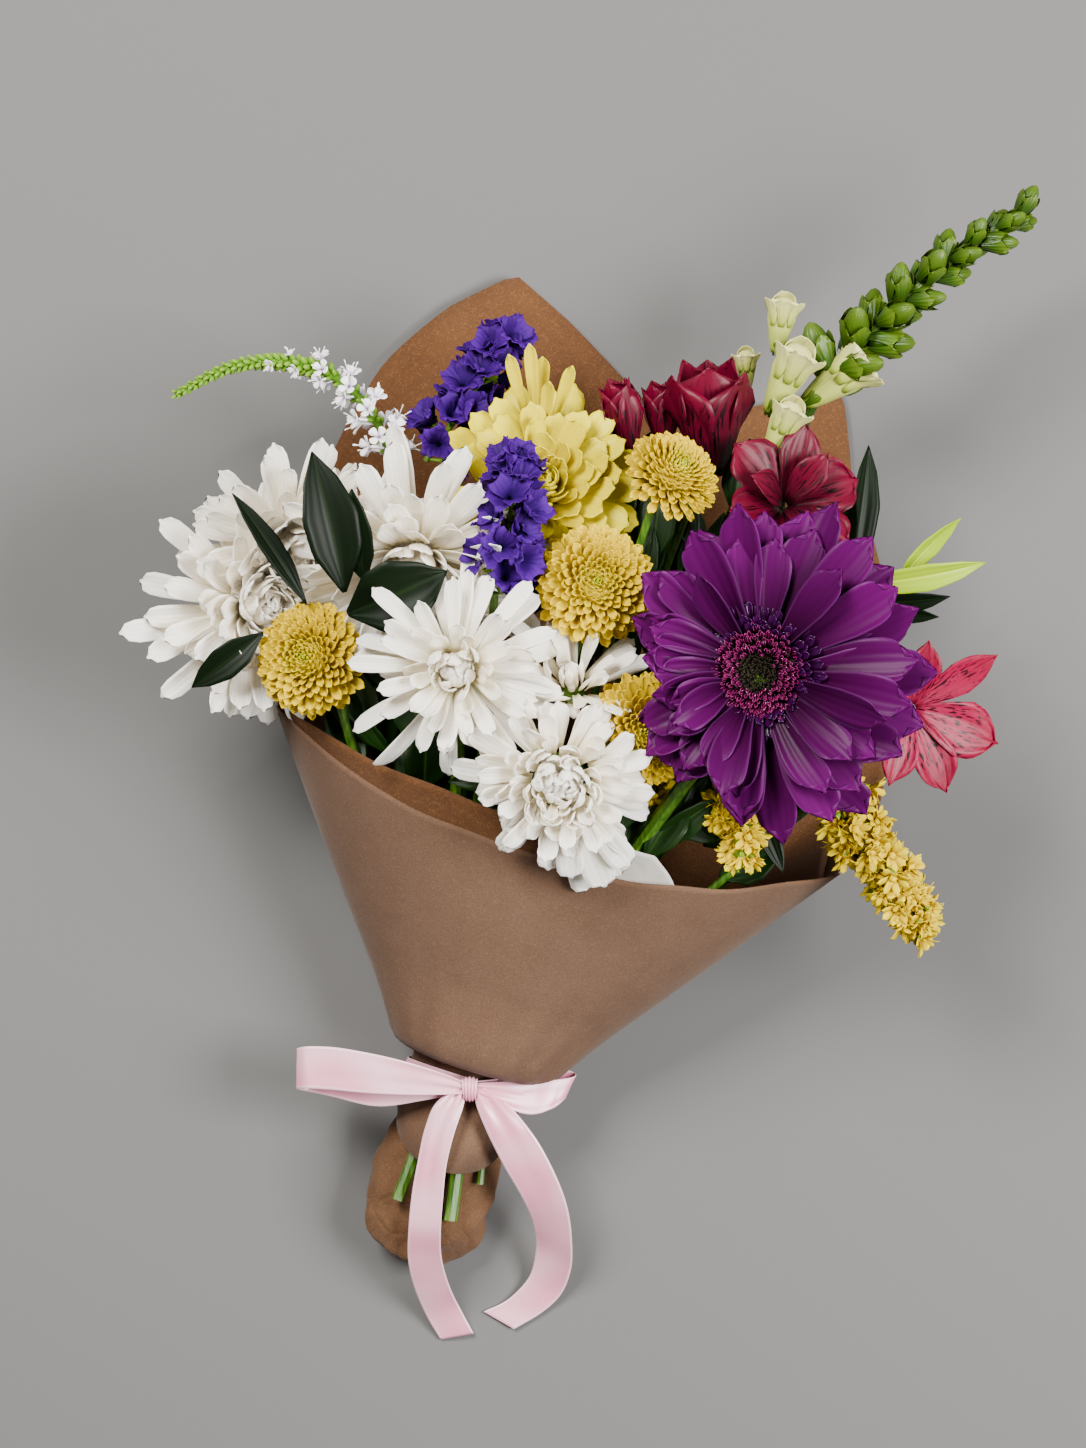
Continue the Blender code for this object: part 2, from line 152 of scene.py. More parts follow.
AXIS_TILT = math.radians(17.0)
AXIS = np.array([math.sin(AXIS_TILT), math.cos(AXIS_TILT), 0.0])
SIDE = np.array([math.cos(AXIS_TILT), -math.sin(AXIS_TILT), 0.0])
UP = np.array([0.0, 0.0, 1.0])
APEX = -34.8
SPREAD = 0.747
SIDE_RIM = 122.0
INNER_RIM = 108.0
PAPER_THICKNESS = 0.35
SHEET_STEP = 2.2  # between the middles of the two sheets
CLEAR_OF_FLOOR = 0.5


def add_piece(name, points, faces, material, replaces=(), thickness=0.0, offset=0.0, marks=None):
    """A smooth piece from points in millimetres from the tie; marks are named numbers for each point."""
    mesh = bpy.data.meshes.new(name)
    mesh.from_pydata((np.asarray(points) * MM + TIE).tolist(), [], faces)
    mesh.validate()
    mesh.shade_smooth()
    for mark, values in (marks or {}).items():
        mesh.attributes.new(mark, "FLOAT", "POINT").data.foreach_set("value", np.asarray(values, np.float32))
    mesh.materials.append(material)
    piece = bpy.data.objects.new(name, mesh)
    bpy.context.scene.collection.objects.link(piece)
    if thickness:
        shell = piece.modifiers.new("thickness", "SOLIDIFY")
        shell.thickness = thickness * MM
        shell.offset = offset
    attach(piece, "root")
    if replaces:
        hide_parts(*replaces)
    return piece


def grid_faces(rows, columns, closed=False):
    """Quads of a grid of rows x columns points; closed joins its last column to its first."""
    faces = []
    for row in range(rows - 1):
        for column in range(columns if closed else columns - 1):
            beside = (column + 1) % columns
            faces.append([row * columns + column, row * columns + beside,
                          (row + 1) * columns + beside, (row + 1) * columns + column])
    return faces


def ripple(seed, *places):
    """A smooth made-up unevenness from -1 to 1 for any arrays of coordinates."""
    turns = np.random.default_rng(seed)
    total = 0.0
    for _ in range(6):
        phase = turns.uniform(0, 2 * math.pi)
        for place in places:
            phase = phase + turns.uniform(-2.5, 2.5) * place
        total = total + np.sin(phase)
    return total / 3.5


def around_section(turn):
    """Across and up, -1..1, once round the section from its right over the top: flat below."""
    turn = np.asarray(turn) % 1.0
    over = turn * 2 * math.pi
    below = (turn - 0.5) * 2
    near = np.where(below <= 0.5, below, 1 - below) / 0.2
    bend = np.clip(near, 0, 1) * math.pi / 2
    corner_across = 0.8 + 0.2 * np.cos(bend)
    corner_across = np.where(below <= 0.5, -corner_across, corner_across)
    flat = (below > 0.2) & (below < 0.8)
    across = np.where(turn <= 0.5, np.cos(over), np.where(flat, -0.8 + 1.6 * (below - 0.2) / 0.6, corner_across))
    up = np.where(turn <= 0.5, np.sin(over), np.where(flat, -1.0, -np.sin(bend)))
    return across, up


# The gathered neck, from the flap below the knot to where the paper runs straight: axis length on the
# front and on the sides, half width, lowest and highest point.
NECK = np.array([
    (-38, -8, 24.0, 1.5, 43.0), (-24, -7, 23.6, 1.6, 41.6), (-8, -6, 23.7, 1.9, 40.0), (3.0, 4, 23.9, 1.9, 40.2),
    (6.0, 6, 26.0, 1.7, 43.5), (4.6, 8, 30.0, 1.0, 48.0), (4.2, 10, 33.5, 0.6, 52.0), (7.0, 13, 36.3, 0.2, 55.6),
    (13.0, 17, 39.2, 0.0, 58.6), (22.0, 24, 44.0, 0.0, 61.6), (34.0, 34, 51.4, 0.0, 66.6)])
CONE_TOP = 56.0
CONE_RISE = 0.58
CONE_START = 16.0


def paper_cone(name, node, inset, flap, middle_rim, side_power, back_outline, seed, inside, outside):
    """One rolled sheet with its front rim, its long back and, on the outer one, a flap below the knot."""
    columns, cone_rows = 240, 26
    turn = np.arange(columns) / columns
    across, up = around_section(turn)
    back_across, back_length = np.array(back_outline).T
    front = middle_rim + (SIDE_RIM - middle_rim) * np.abs(across) ** side_power
    if not flap:  # the inner sheet's rim dips out of sight on the right
        front = front - 21 * np.clip((across - 0.15) / 0.25, 0, 1) * np.clip((1 - across) / 0.2, 0, 1)
    rim = np.where(up >= 0, front, np.interp(across, back_across, back_length))
    rim = rim + 0.8 * ripple(seed, turn * 40)
    facing_front = np.clip(up, 0, 1)
    rows = []
    for front_length, side_length, half_width, low, high in NECK if flap else NECK[2:]:
        length = side_length + (front_length - side_length) * facing_front ** 0.6
        rows.append((length, np.full(columns, half_width), np.full(columns, low), np.full(columns, high)))
    last = NECK[-1][0]
    for share in np.linspace(0, 1, cone_rows + 1)[1:]:
        length = last + (rim - last) * share
        rows.append((length, SPREAD * (length - APEX), 0 * length, CONE_TOP + CONE_RISE * (length - CONE_START)))
    points = []
    for length, half_width, low, high in rows:
        pleats = np.exp(-np.abs(length - 12) / 22.0) * ripple(seed + 1, turn * 60 + length * 0.02) * 0.8
        waves = ripple(seed + 2, turn * 14, length * 0.02) * np.clip((length - 30) / 60, 0, 1) * 1.4
        lift = np.where(up < 0, np.clip((length - 190) / 120, 0, 1) ** 1.5 * (7 + 3 * ripple(seed + 3, across * 2)), 0)
        creases = np.exp(-((length + 16) / 13) ** 2) * (np.abs(ripple(seed + 4, turn * 26, length * 0.12)) - 0.4) * 1.6
        swell = np.where(up > -0.9, pleats + waves + creases, 0.0)
        wide = half_width - inset + swell * 0.5
        tall_low, tall_high = low + inset, high - inset
        height = (tall_low + tall_high) / 2 + up * (tall_high - tall_low) / 2 + swell * facing_front + lift
        middle = AXIS * length[:, None]
        points.append(middle + SIDE * (across * wide)[:, None] + UP * np.maximum(height, 0.3 + inset)[:, None])
    points = np.concatenate(points)
    piece = add_piece(name, points, grid_faces(len(rows), columns, closed=True), inside, (node,),
                      PAPER_THICKNESS, 1.0)
    piece.data.materials.append(outside)
    piece.modifiers["thickness"].material_offset = 1


def base_of(material):
    """What colours the material so far: the output linked to its base colour, or the plain colour set there."""
    base = material.node_tree.nodes["Principled BSDF"].inputs["Base Color"]
    return base.links[0].from_socket if base.is_linked else base.default_value


def paint_over(material, amount, colour, blend="MIX"):
    """Lays a colour over what the material has so far, as strongly as the amount says at each place."""
    to_shader(material, Base_Color=add_node(
        material, "Mix", {"Factor": amount, 6: base_of(material), 7: linear(colour)},
        data_type="RGBA", blend_type=blend))


def shade_by(material, amount):
    """Multiplies the base colour by a number that varies over the surface."""
    to_shader(material, Base_Color=add_node(
        material, "VectorMath", {0: base_of(material), "Scale": amount}, operation="SCALE"))


def kraft_paper(name, face, fibre, dark, fibre_show):
    """Uncoated kraft: a brown mottle with curly pale fibres and dark flecks, matt and slightly rough."""
    paper = new_material(name, Base_Color=linear(dark), Roughness=0.86, IOR=1.45, Specular_IOR_Level=0.25,
                         Sheen_Weight=0.08)
    place = add_node(paper, "TexCoord").outputs["Object"]
    # 12 mm clouds where the pulp is thicker and thinner.
    paint_over(paper, add_node(paper, "TexNoise", {"Vector": place, "Scale": 85.0, "Detail": 4.0}), face)
    # Fibres are 2 to 3 mm long and far thinner than they are drawn here, so that they show.
    curl = add_node(paper, "TexNoise",
                    {"Vector": place, "Scale": 330.0, "Detail": 1.5, "Distortion": 1.6})
    ridge = add_node(paper, "Math", {0: curl, 1: 0.5}, operation="SUBTRACT")
    away = add_node(paper, "Math", {0: ridge}, operation="ABSOLUTE")
    paint_over(paper, add_node(paper, "MapRange",
                               {"Value": away, "From Max": 0.035, "To Min": fibre_show, "To Max": 0.0}), fibre)
    # The tooth of the sheet is about 0.4 mm across and flecks it lighter and darker.
    grain = add_node(paper, "TexNoise", {"Vector": place, "Scale": 2200.0, "Detail": 2.0})
    shade_by(paper, add_node(paper, "MapRange", {
        "Value": grain, "From Min": 0.3, "From Max": 0.7, "To Min": 0.80, "To Max": 1.16}))
    rough = add_node(paper, "Math", {0: grain, 1: curl}, operation="ADD")
    to_shader(paper, Normal=add_node(paper, "Bump", {"Height": rough, "Strength": 0.35, "Distance": 0.0002}))
    return paper


outer_kraft = kraft_paper("kraft_paper_outer_face", "#644B3A", "#775C48", "#573F2F", 0.35)
inner_kraft = kraft_paper("kraft_paper_inner_face", "#5E3C20", "#77522D", "#4E301A", 0.55)
OUTER_BACK = [(-1, SIDE_RIM), (-0.7, 190), (-0.2, 245), (0.248, 312), (0.341, 276), (0.937, 148), (1, SIDE_RIM)]
INNER_BACK = [(-1, SIDE_RIM), (-0.659, 226), (-0.525, 267), (-0.404, 296), (-0.294, 317), (-0.198, 305),
              (-0.084, 288), (0.07, 268), (0.6, 195), (1, 118)]
paper_cone("wrapper_outer_sheet", "wrapper_outer", 0.0, True, 96.0, 3.5, OUTER_BACK, 11, inner_kraft, outer_kraft)
paper_cone("wrapper_inner_sheet", "wrapper_inner", SHEET_STEP, False, INNER_RIM, 3.0, INNER_BACK, 23,
           inner_kraft, inner_kraft)

# ------------------------------------------------------------------------- the foot pouch and the tissue
# A bag of the same kraft folded round the cut ends, dented into broad crumpled facets, with its mouth
# inside the neck; and one sheet of white tissue that lines the mouth of the wrapper on the right.

POUCH = np.array([  # axis length, half width, lowest, highest, shift to the left
    (-79, 7.0, 12.0, 21.0, 3.0), (-78, 16.0, 6.0, 25.0, 3.0), (-73, 20.5, 2.5, 27.5, 2.5), (-66, 24.0, 0.6, 29.5, 1.5),
    (-56, 26.0, 0.4, 30.5, 1.0), (-46, 25.5, 0.4, 31.0, 0.5), (-34, 23.5, 1.5, 30.5, 0.0), (-22, 21.0, 3.2, 29.0, 0.0),
    (-8, 20.0, 5.4, 27.0, 0.0), (6, 20.0, 5.6, 26.5, 0.0)])

POUCH_MIDDLE = 16  # height of its middle line above the floor


def facets(seed, points, count, depth):
    """Cuts a round skin back to flat planes that meet at creases, as crumpled paper has."""
    turns = np.random.default_rng(seed)
    middle, reach = (points.max(axis=0) + points.min(axis=0)) / 2, np.ptp(points, axis=0) / 2
    even = (points - middle) / reach
    ahead = turns.normal(size=(count, 3))
    ahead /= np.linalg.norm(ahead, axis=1)[:, None]
    out = even @ ahead.T
    plane = out.max(axis=0) * (1 - depth * turns.uniform(0.4, 1.0, count))
    share = np.where(out > 0.2, plane / np.maximum(out, 0.2), 9.0).min(axis=1)
    return middle + even * reach * np.minimum(share, 1.0)[:, None]


def foot_pouch():
    """The bag round the stem ends."""
    columns, lengths = 150, np.linspace(-79, 6, 96)
    across, up = around_section(np.arange(columns) / columns)
    points = []
    for length in lengths:
        half_width, low, high, shift = [np.interp(length, POUCH[:, 0], POUCH[:, i]) for i in (1, 2, 3, 4)]
        height = (low + high) / 2 + up * (high - low) / 2
        points.append(AXIS * length + SIDE * (across * half_width - shift)[:, None] + UP * height[:, None])
    points = np.concatenate(points)
    points = facets(5, points, count=44, depth=0.11)
    spine = AXIS * (points @ AXIS)[:, None] + UP * POUCH_MIDDLE
    outward = (points - spine) / np.linalg.norm(points - spine, axis=1)[:, None]
    for seed, finer in ((61, 0.075), (62, 0.11), (63, 0.16)):  # creases where the paper was crushed
        fold = np.abs(ripple(seed, *(points * finer).T)) - 0.45
        points += outward * (0.14 / finer * fold)[:, None]
    points += 0.5 * ripple(8, points[:, 0] * 0.25, points[:, 1] * 0.2, points[:, 2] * 0.3)[:, None] * [1, 0.4, 0.6]
    points[:, 2] = np.maximum(points[:, 2], CLEAR_OF_FLOOR)
    faces = grid_faces(len(lengths), columns, closed=True) + [list(range(columns))[::-1]]
    add_piece("foot_pouch_sheet", points, faces, pouch_kraft, ("foot_pouch",), PAPER_THICKNESS, -1.0)


def tissue_liner():
    """White tissue inside the wrapper's front, with a wavy free edge above the rim."""
    rows, columns = 22, 40
    turn = np.linspace(0.12, 0.215, columns)
    across, up = around_section(turn)
    rim = INNER_RIM + (SIDE_RIM - INNER_RIM) * np.abs(across) ** 3 - 1 - 22 * np.clip((0.18 - turn) / 0.06, 0, 1)
    rim += 1.6 * ripple(31, turn * 60)
    points = []
    for share in np.linspace(0, 1, rows):
        length = 70 + (rim - 70) * share
        high = CONE_TOP + CONE_RISE * (length - CONE_START)
        wave = 0.9 * ripple(32, turn * 90, share * 5)
        inset = 4.6 + wave
        wide = SPREAD * (length - APEX) - inset
        height = high / 2 + up * (high / 2 - inset)
        points.append(AXIS * length[:, None] + SIDE * (across * wide)[:, None] + UP * height[:, None])
    # Painted shade: the tissue's colour is a light grey, darker than white tissue, for the shade it lies in inside the
    # wrapper's mouth.
    tissue = new_material("white_tissue", Base_Color=linear("#BDBAB2"), Roughness=0.7, Specular_IOR_Level=0.3)
    place = add_node(tissue, "TexCoord").outputs["Object"]
    # Fine crush lines a few millimetres apart.
    crush = add_node(tissue, "TexVoronoi", {"Vector": place, "Scale": 160.0}, feature="DISTANCE_TO_EDGE")
    to_shader(tissue, Normal=add_node(tissue, "Bump", {"Height": crush, "Strength": 0.3, "Distance": 0.001}))
    add_piece("tissue_sheet", np.concatenate(points), grid_faces(rows, columns), tissue,
              ("tissue_liner",), thickness=0.2)


pouch_kraft = kraft_paper("kraft_paper_crumpled", "#674830", "#7A5A3E", "#4C3420", 0.35)
# Creases cross where it was crushed, every 12 mm or so.
place = add_node(pouch_kraft, "TexCoord").outputs["Object"]
crush = add_node(pouch_kraft, "TexVoronoi", {"Vector": place, "Scale": 80.0, "Randomness": 1.0},
                 feature="DISTANCE_TO_EDGE")
crease = add_node(pouch_kraft, "MapRange", {"Value": crush, "From Max": 0.12})
tooth = pouch_kraft.node_tree.nodes["Principled BSDF"].inputs["Normal"].links[0].from_socket
to_shader(pouch_kraft, Normal=add_node(pouch_kraft, "Bump", {
    "Height": crease, "Normal": tooth, "Strength": 0.35, "Distance": 0.0008}))
foot_pouch()
tissue_liner()

# ---------------------------------------------------------------------------------------- the ribbon
# Pink satin ribbon 16 mm wide: a band round the neck, a flat knot, a long loop to the left, a short
# one to the right that tucks under the paper's belly, and two tails that run down over the pouch to
# the floor. Satin shines along its threads and has a firm pale woven edge.


def curve_through(points, count):
    """Points spread along a smooth curve through control points."""
    points = np.asarray(points, float)
    chord = np.concatenate([[0], np.cumsum(np.linalg.norm(np.diff(points, axis=0), axis=1) + 1e-9)])
    padded = np.concatenate([[2 * points[0] - points[1]], points, [2 * points[-1] - points[-2]]])
    knots = np.concatenate([[2 * chord[0] - chord[1]], chord, [2 * chord[-1] - chord[-2]]])
    out = []
    for where in np.linspace(0, chord[-1], count):
        i = min(int(np.searchsorted(chord, where, "right")) - 1, len(points) - 2)
        p0, p1, p2, p3 = padded[i:i + 4]
        k0, k1, k2, k3 = knots[i:i + 4]
        t = (where - k1) / (k2 - k1)
        m1 = (k2 - k1) * ((p1 - p0) / (k1 - k0) - (p2 - p0) / (k2 - k0) + (p2 - p1) / (k2 - k1))
        m2 = (k2 - k1) * ((p2 - p1) / (k2 - k1) - (p3 - p1) / (k3 - k1) + (p3 - p2) / (k3 - k2))
        out.append((2 * t**3 - 3 * t**2 + 1) * p1 + (t**3 - 2 * t**2 + t) * m1
                   + (3 * t**2 - 2 * t**3) * p2 + (t**3 - t**2) * m2)
    return np.array(out)


def ribbon_strip(name, node, left_edge, right_edge, puckers):
    """A strip of ribbon between two edges; it puckers lengthways where it comes out of the knot."""
    rows, columns = 120, 15
    both = curve_through(np.hstack([left_edge, right_edge]), rows)
    left, right = both[:, :3], both[:, 3:]
    share = np.linspace(0, 1, columns)
    points = left[:, None] + (right - left)[:, None] * share[None, :, None]
    ahead = np.gradient(both[:, :3] + both[:, 3:], axis=0)
    normal = np.cross(right - left, ahead)
    normal /= np.linalg.norm(normal, axis=1)[:, None]
    t = np.linspace(0, 1, rows)[:, None]
    depth = sum(size * np.exp(-np.abs(t - at) * fade) for at, size, fade in puckers)
    fold = np.cos(share[None, :] * 2 * math.pi * 2.0 + 0.5) * depth
    soft = 0.35 * ripple(len(name), t * 9, share[None, :] * 1.5)
    points = points + normal[:, None] * (fold + soft)[:, :, None]
    points[:, :, 2] = np.maximum(points[:, :, 2], CLEAR_OF_FLOOR)
    strip = add_piece(name, points.reshape(-1, 3), grid_faces(rows, columns), satin, (node,),
                      thickness=0.25, marks={"across": np.tile(share, rows)})


satin = new_material("pink_satin_ribbon", Base_Color=linear("#DC8AA4"), Roughness=0.34, IOR=1.8,
                     Specular_IOR_Level=0.7, Anisotropic=0.6, Sheen_Weight=0.05, Sheen_Roughness=0.4)
# Its threads are far finer than the millimetre they are drawn at here, so that they show.
place = add_node(satin, "TexCoord").outputs["Object"]
threads = add_node(satin, "TexNoise", {"Vector": place, "Scale": 900.0, "Detail": 2.0})
paint_over(satin, threads, "#E696AE")
# Painted sheen: broad soft pale patches, about 20 mm apart, are painted into the colour where the floating threads
# would catch the light.
painted_sheen_patches = add_node(satin, "TexNoise", {"Vector": place, "Scale": 44.0, "Detail": 0.0})
paint_over(satin, add_node(satin, "MapRange", {
    "Value": painted_sheen_patches, "From Min": 0.38, "From Max": 0.7, "To Max": 0.36}), "#FBE0E8")
# The outer millimetre on both edges is a denser, paler weave.
edge = add_node(satin, "Attribute", attribute_name="across").outputs["Fac"]
from_middle = add_node(satin, "Math", {0: edge, 1: 0.5}, operation="SUBTRACT")
outward = add_node(satin, "Math", {0: from_middle}, operation="ABSOLUTE")
selvedge = add_node(satin, "MapRange", {"Value": outward, "From Min": 0.43, "From Max": 0.465})
paint_over(satin, selvedge, "#F6C6D4")
weave = add_node(satin, "Bump", {"Height": threads, "Strength": 0.12, "Distance": 0.0001})
to_shader(satin, Normal=add_node(satin, "Bump", {
    "Height": selvedge, "Normal": weave, "Strength": 0.5, "Distance": 0.0002}))

ribbon_strip(
    "ribbon_left_loop", "ribbon_loop_left",
    [(-2, -0.5, 43.5), (-16, 3, 42.6), (-36, 5.5, 41.8), (-55, 9, 41.4), (-65, 12, 42), (-67.8, 12.6, 45),
     (-65.5, 13.5, 48), (-56, 13.8, 49.6), (-40, 11.5, 50), (-22, 7.2, 49.6), (-10, 3.2, 48.6), (0, -0.8, 47.5)],
    [(-2, -5.5, 43.5), (-16, -8, 42.6), (-36, -10.6, 41.8), (-55, -6.6, 41.4), (-65, -4.4, 42), (-67.8, -3.4, 45),
     (-65.5, -2.9, 48), (-56, -3.2, 49.6), (-40, -4.6, 50), (-22, -5.4, 49.6), (-10, -5.4, 48.6), (0, -5.2, 47.5)],
    ((0.0, 0.9, 9), (1.0, 0.9, 9)))
ribbon_strip(
    "ribbon_right_loop", "ribbon_loop_right",
    [(3, -0.5, 43.5), (14, 0.5, 42), (28, 1.5, 36.5), (38, 3.5, 31.5), (43, 2, 32.5), (43.6, 1, 36),
     (38, 0, 39.5), (27, -0.5, 42), (14, -0.5, 45), (3, -1, 47)],
    [(3, -5.5, 43.5), (14, -10, 42), (28, -13.6, 36), (36, -11.5, 31.5), (39.6, -8.3, 33), (39.4, -8.2, 37),
     (34, -11.6, 40.5), (26, -13.8, 43), (14, -10.2, 46), (3, -5.2, 47)],
    ((0.0, 0.8, 9), (1.0, 0.9, 8)))
ribbon_strip(
    "ribbon_left_tail", "ribbon_tail_left",
    [(-6, -3, 46.5), (-13, -10, 47.8), (-16, -17, 47.2), (-19.5, -32, 45.4), (-22, -46, 42), (-23.5, -60.5, 36.5),
     (-24, -73, 28), (-21.5, -87.5, 16), (-16.5, -101, 5), (-11.5, -110, 1.2)],
    [(0, -4, 46.5), (-1.5, -11, 47.0), (-4, -18, 47.8), (-8, -33.5, 46.6), (-9.5, -47, 43), (-10.5, -60.5, 37),
     (-10.5, -72, 28), (-7.5, -86, 16), (-2.6, -98, 5), (2, -107, 2.2)],
    ((0.0, 1.1, 7),))
ribbon_strip(
    "ribbon_right_tail", "ribbon_tail_right",
    [(2.5, -4, 46.5), (4.5, -11.5, 47.4), (7.6, -19.5, 46.2), (14.5, -34, 42), (22, -48, 34.6), (26.5, -60.5, 23.5),
     (27.5, -72.5, 12), (24, -85, 4), (16, -93.5, 1.6), (6, -98.5, 1.2)],
    [(8, -2.5, 46), (17, -10, 46.2), (25, -19.5, 46.4), (33, -33, 43), (39.5, -49.5, 35), (42, -66.5, 23),
     (41.5, -81, 11), (37, -92, 3.6), (29.5, -99, 1.6), (18.5, -105.5, 2.0)],
    ((0.0, 1.0, 8),))


def ribbon_band_and_knot():
    """The ribbon's turn round the neck, and the tight vertical wrap that holds the bow."""
    columns, rows = 160, 11
    across, up = around_section(np.arange(columns) / columns)
    points = []
    for share in np.linspace(-0.5, 0.5, rows):
        ridge = 0.25 * math.cos(share * 22) + 0.3 * ripple(41, share * 3, up)
        height = 21 + up * (19.8 + ridge)
        length = -3.5 + 7.0 * share + 0.8 * np.sin(np.arange(columns) / columns * 2 * math.pi)
        points.append(AXIS * length[:, None] + SIDE * (across * (25.2 + ridge))[:, None]
                      + UP * np.maximum(height, 0.6)[:, None])
    add_piece("ribbon_round_neck", np.concatenate(points), grid_faces(rows, columns, closed=True), satin,
              ("ribbon_band",), thickness=0.3,
              marks={"across": np.repeat(np.linspace(0, 1, rows), columns)})
    # The knot: a ribbon gathered to half its width and wound once over the four strands.
    rows, columns = 48, 25
    points = []
    for turn in np.linspace(0, 2 * math.pi, rows, endpoint=False):
        share = np.linspace(-1, 1, columns)
        pleat = 0.42 * np.cos(share * 13 + 1.2 * math.sin(turn)) + 0.2 * math.sin(3 * turn)
        waist = 1 - 0.22 * share**2
        x = 1.2 + share * (2.7 + 0.4 * math.cos(turn))
        y = -3.4 + (4.6 * waist + pleat) * math.cos(turn)
        z = 45.4 + (4.4 * waist + pleat) * math.sin(turn)
        points.append(np.stack([x, y, z], axis=1))
    grid = np.array(points)
    faces = grid_faces(rows, columns)
    for column in range(columns - 1):
        faces.append([(rows - 1) * columns + column, (rows - 1) * columns + column + 1, column + 1, column])
    add_piece("ribbon_knot_wrap", grid.reshape(-1, 3), faces, satin, ("ribbon_knot",),
              thickness=0.4, marks={"across": np.tile(np.linspace(0, 1, columns), rows)})


ribbon_band_and_knot()

# ------------------------------------------------------------------------------------ the white mums
# Spray chrysanthemums: long cupped petals open at the outside, shorter ones stand up further in and the
# innermost curl over a cream centre. The heads lean different ways out of the wrapper.


def unit(vector):
    return np.asarray(vector, float) / np.linalg.norm(vector)


def turned(facing):
    """Rows across, along and ahead of a flower that faces this way, with its first petal to the right."""
    ahead = unit(facing)
    across = unit(np.array([1.0, 0, 0]) - ahead * ahead[0])
    return np.array([across, np.cross(ahead, across), ahead])


def join(parts):
    """Sets of points, faces and marks as one set."""
    points, faces, marks, first = [], [], {}, 0
    for part_points, part_faces, part_marks in parts:
        points.append(part_points)
        faces.append(np.asarray(part_faces) + first)
        for mark, values in part_marks.items():
            marks.setdefault(mark, []).append(values)
        first += len(part_points)
    return (np.concatenate(points), [face for group in faces for face in group.tolist()],
            {mark: np.concatenate(values) for mark, values in marks.items()})


def petal_set(azimuth, root, height, length, width, rise, curl, cup, outline, rows=8, columns=5, power=1.5,
              bend=0.0, twist=0.0, tip=0.12, ruffle=0.0, share=0.5, seed=0):
    """Petals round a flower's axis; every number may be one for each petal.

    A petal leaves the axis at its root radius and height, rises at an angle and curls up by another.
    Its section is an arc with the half angles of cup at the root and the tip; outline is its width
    along the length; tip rounds the end; bend and twist lead it sideways and roll it."""
    turns = np.random.default_rng(seed)
    count = len(azimuth)
    t = 1 - (1 - np.linspace(0, 1, rows)[None, :, None]) ** 1.6
    s = np.linspace(-1, 1, columns)[None, None, :]

    def each(value):
        return np.broadcast_to(np.asarray(value, float), (count,))[:, None, None]

    length, width, rise, curl = each(length), each(width), np.radians(each(rise)), np.radians(each(curl))
    angle = rise + curl * t**power
    between = rise + curl * ((t[:, 1:] + t[:, :-1]) / 2) ** power
    zero, step = np.zeros((count, 1, 1)), np.diff(t, axis=1)
    out = np.concatenate([zero, np.cumsum(np.cos(between) * step, axis=1)], axis=1) * length
    lift = np.concatenate([zero, np.cumsum(np.sin(between) * step, axis=1)], axis=1) * length
    stations, widths = np.array(outline).T
    half = width / 2 * np.interp(t, stations, widths)
    arc = np.maximum(each(cup[0]) * (1 - t) + each(cup[1]) * t, 0.02)
    wide, deep = half * np.sin(s * arc) / arc, half * (1 - np.cos(s * arc)) / arc
    wave = ruffle * width * np.sin(s * 6.3 + t * 9 + turns.uniform(0, 6.3, (count, 1, 1))) * t * np.abs(s)
    deep = deep + wave
    roll = each(twist) * t
    wide, deep = wide * np.cos(roll) - deep * np.sin(roll), wide * np.sin(roll) + deep * np.cos(roll)
    slip = tip * width * s**2 * t**5
    radius = each(root) + out - slip * np.cos(angle) - deep * np.sin(angle)
    level = each(height) + lift - slip * np.sin(angle) + deep * np.cos(angle)
    beside = wide + each(bend) * t**2 * length
    azimuth = each(azimuth)
    points = np.stack([radius * np.cos(azimuth) - beside * np.sin(azimuth),
                       radius * np.sin(azimuth) + beside * np.cos(azimuth), level + 0 * beside], axis=-1)
    one = np.array(grid_faces(rows, columns))
    faces = (one[None] + (np.arange(count) * rows * columns)[:, None, None]).reshape(-1, 4)
    full = np.ones((count, rows, columns))
    marks = {"along": full * t, "across": full * s, "tone": full * turns.uniform(0, 1, (count, 1, 1)),
             "share": full * each(share)}
    return points.reshape(-1, 3), faces, {mark: values.ravel() for mark, values in marks.items()}


GOLDEN_ANGLE = math.radians(137.508)
SPOON = [(0, 0.42), (0.3, 0.62), (0.6, 0.92), (0.8, 1.0), (0.9, 0.93), (0.96, 0.72), (0.99, 0.42), (1, 0.22)]


def rosette(count, seed, stages, outline=SPOON, loose=1.0, **shape):
    """Petals at the golden angle from the middle out. A stage is a share of the way out with the root,
    height, length, width, rise, curl and the two cups that petals have there."""
    turns = np.random.default_rng(seed)
    share = (np.arange(count) + 0.5) / count
    stages = np.array(stages, float)
    root, height, length, width, rise, curl, cup_root, cup_tip = [
        np.interp(share, stages[:, 0], stages[:, i]) for i in range(1, 9)]
    azimuth = np.arange(count) * GOLDEN_ANGLE + turns.normal(0, 0.06 * loose, count)
    length = length * (1 + turns.normal(0, 0.08 * loose, count))
    rise = rise + turns.normal(0, 6 * loose, count)
    curl = curl + turns.normal(0, 12 * loose, count)
    bend = turns.normal(0, 0.05 * loose, count)
    twist = turns.normal(0, 0.22 * loose, count)
    return petal_set(azimuth, root, height, length, width, rise, curl, (cup_root, cup_tip), outline, bend=bend,
                     twist=twist, share=share, seed=seed, **shape)


def placed(part, centre, facing, size=1.0):
    """A flower built upright at the origin, scaled and set in its place."""
    points, faces, marks = part
    return points * size @ turned(facing) + np.asarray(centre, float), faces, marks


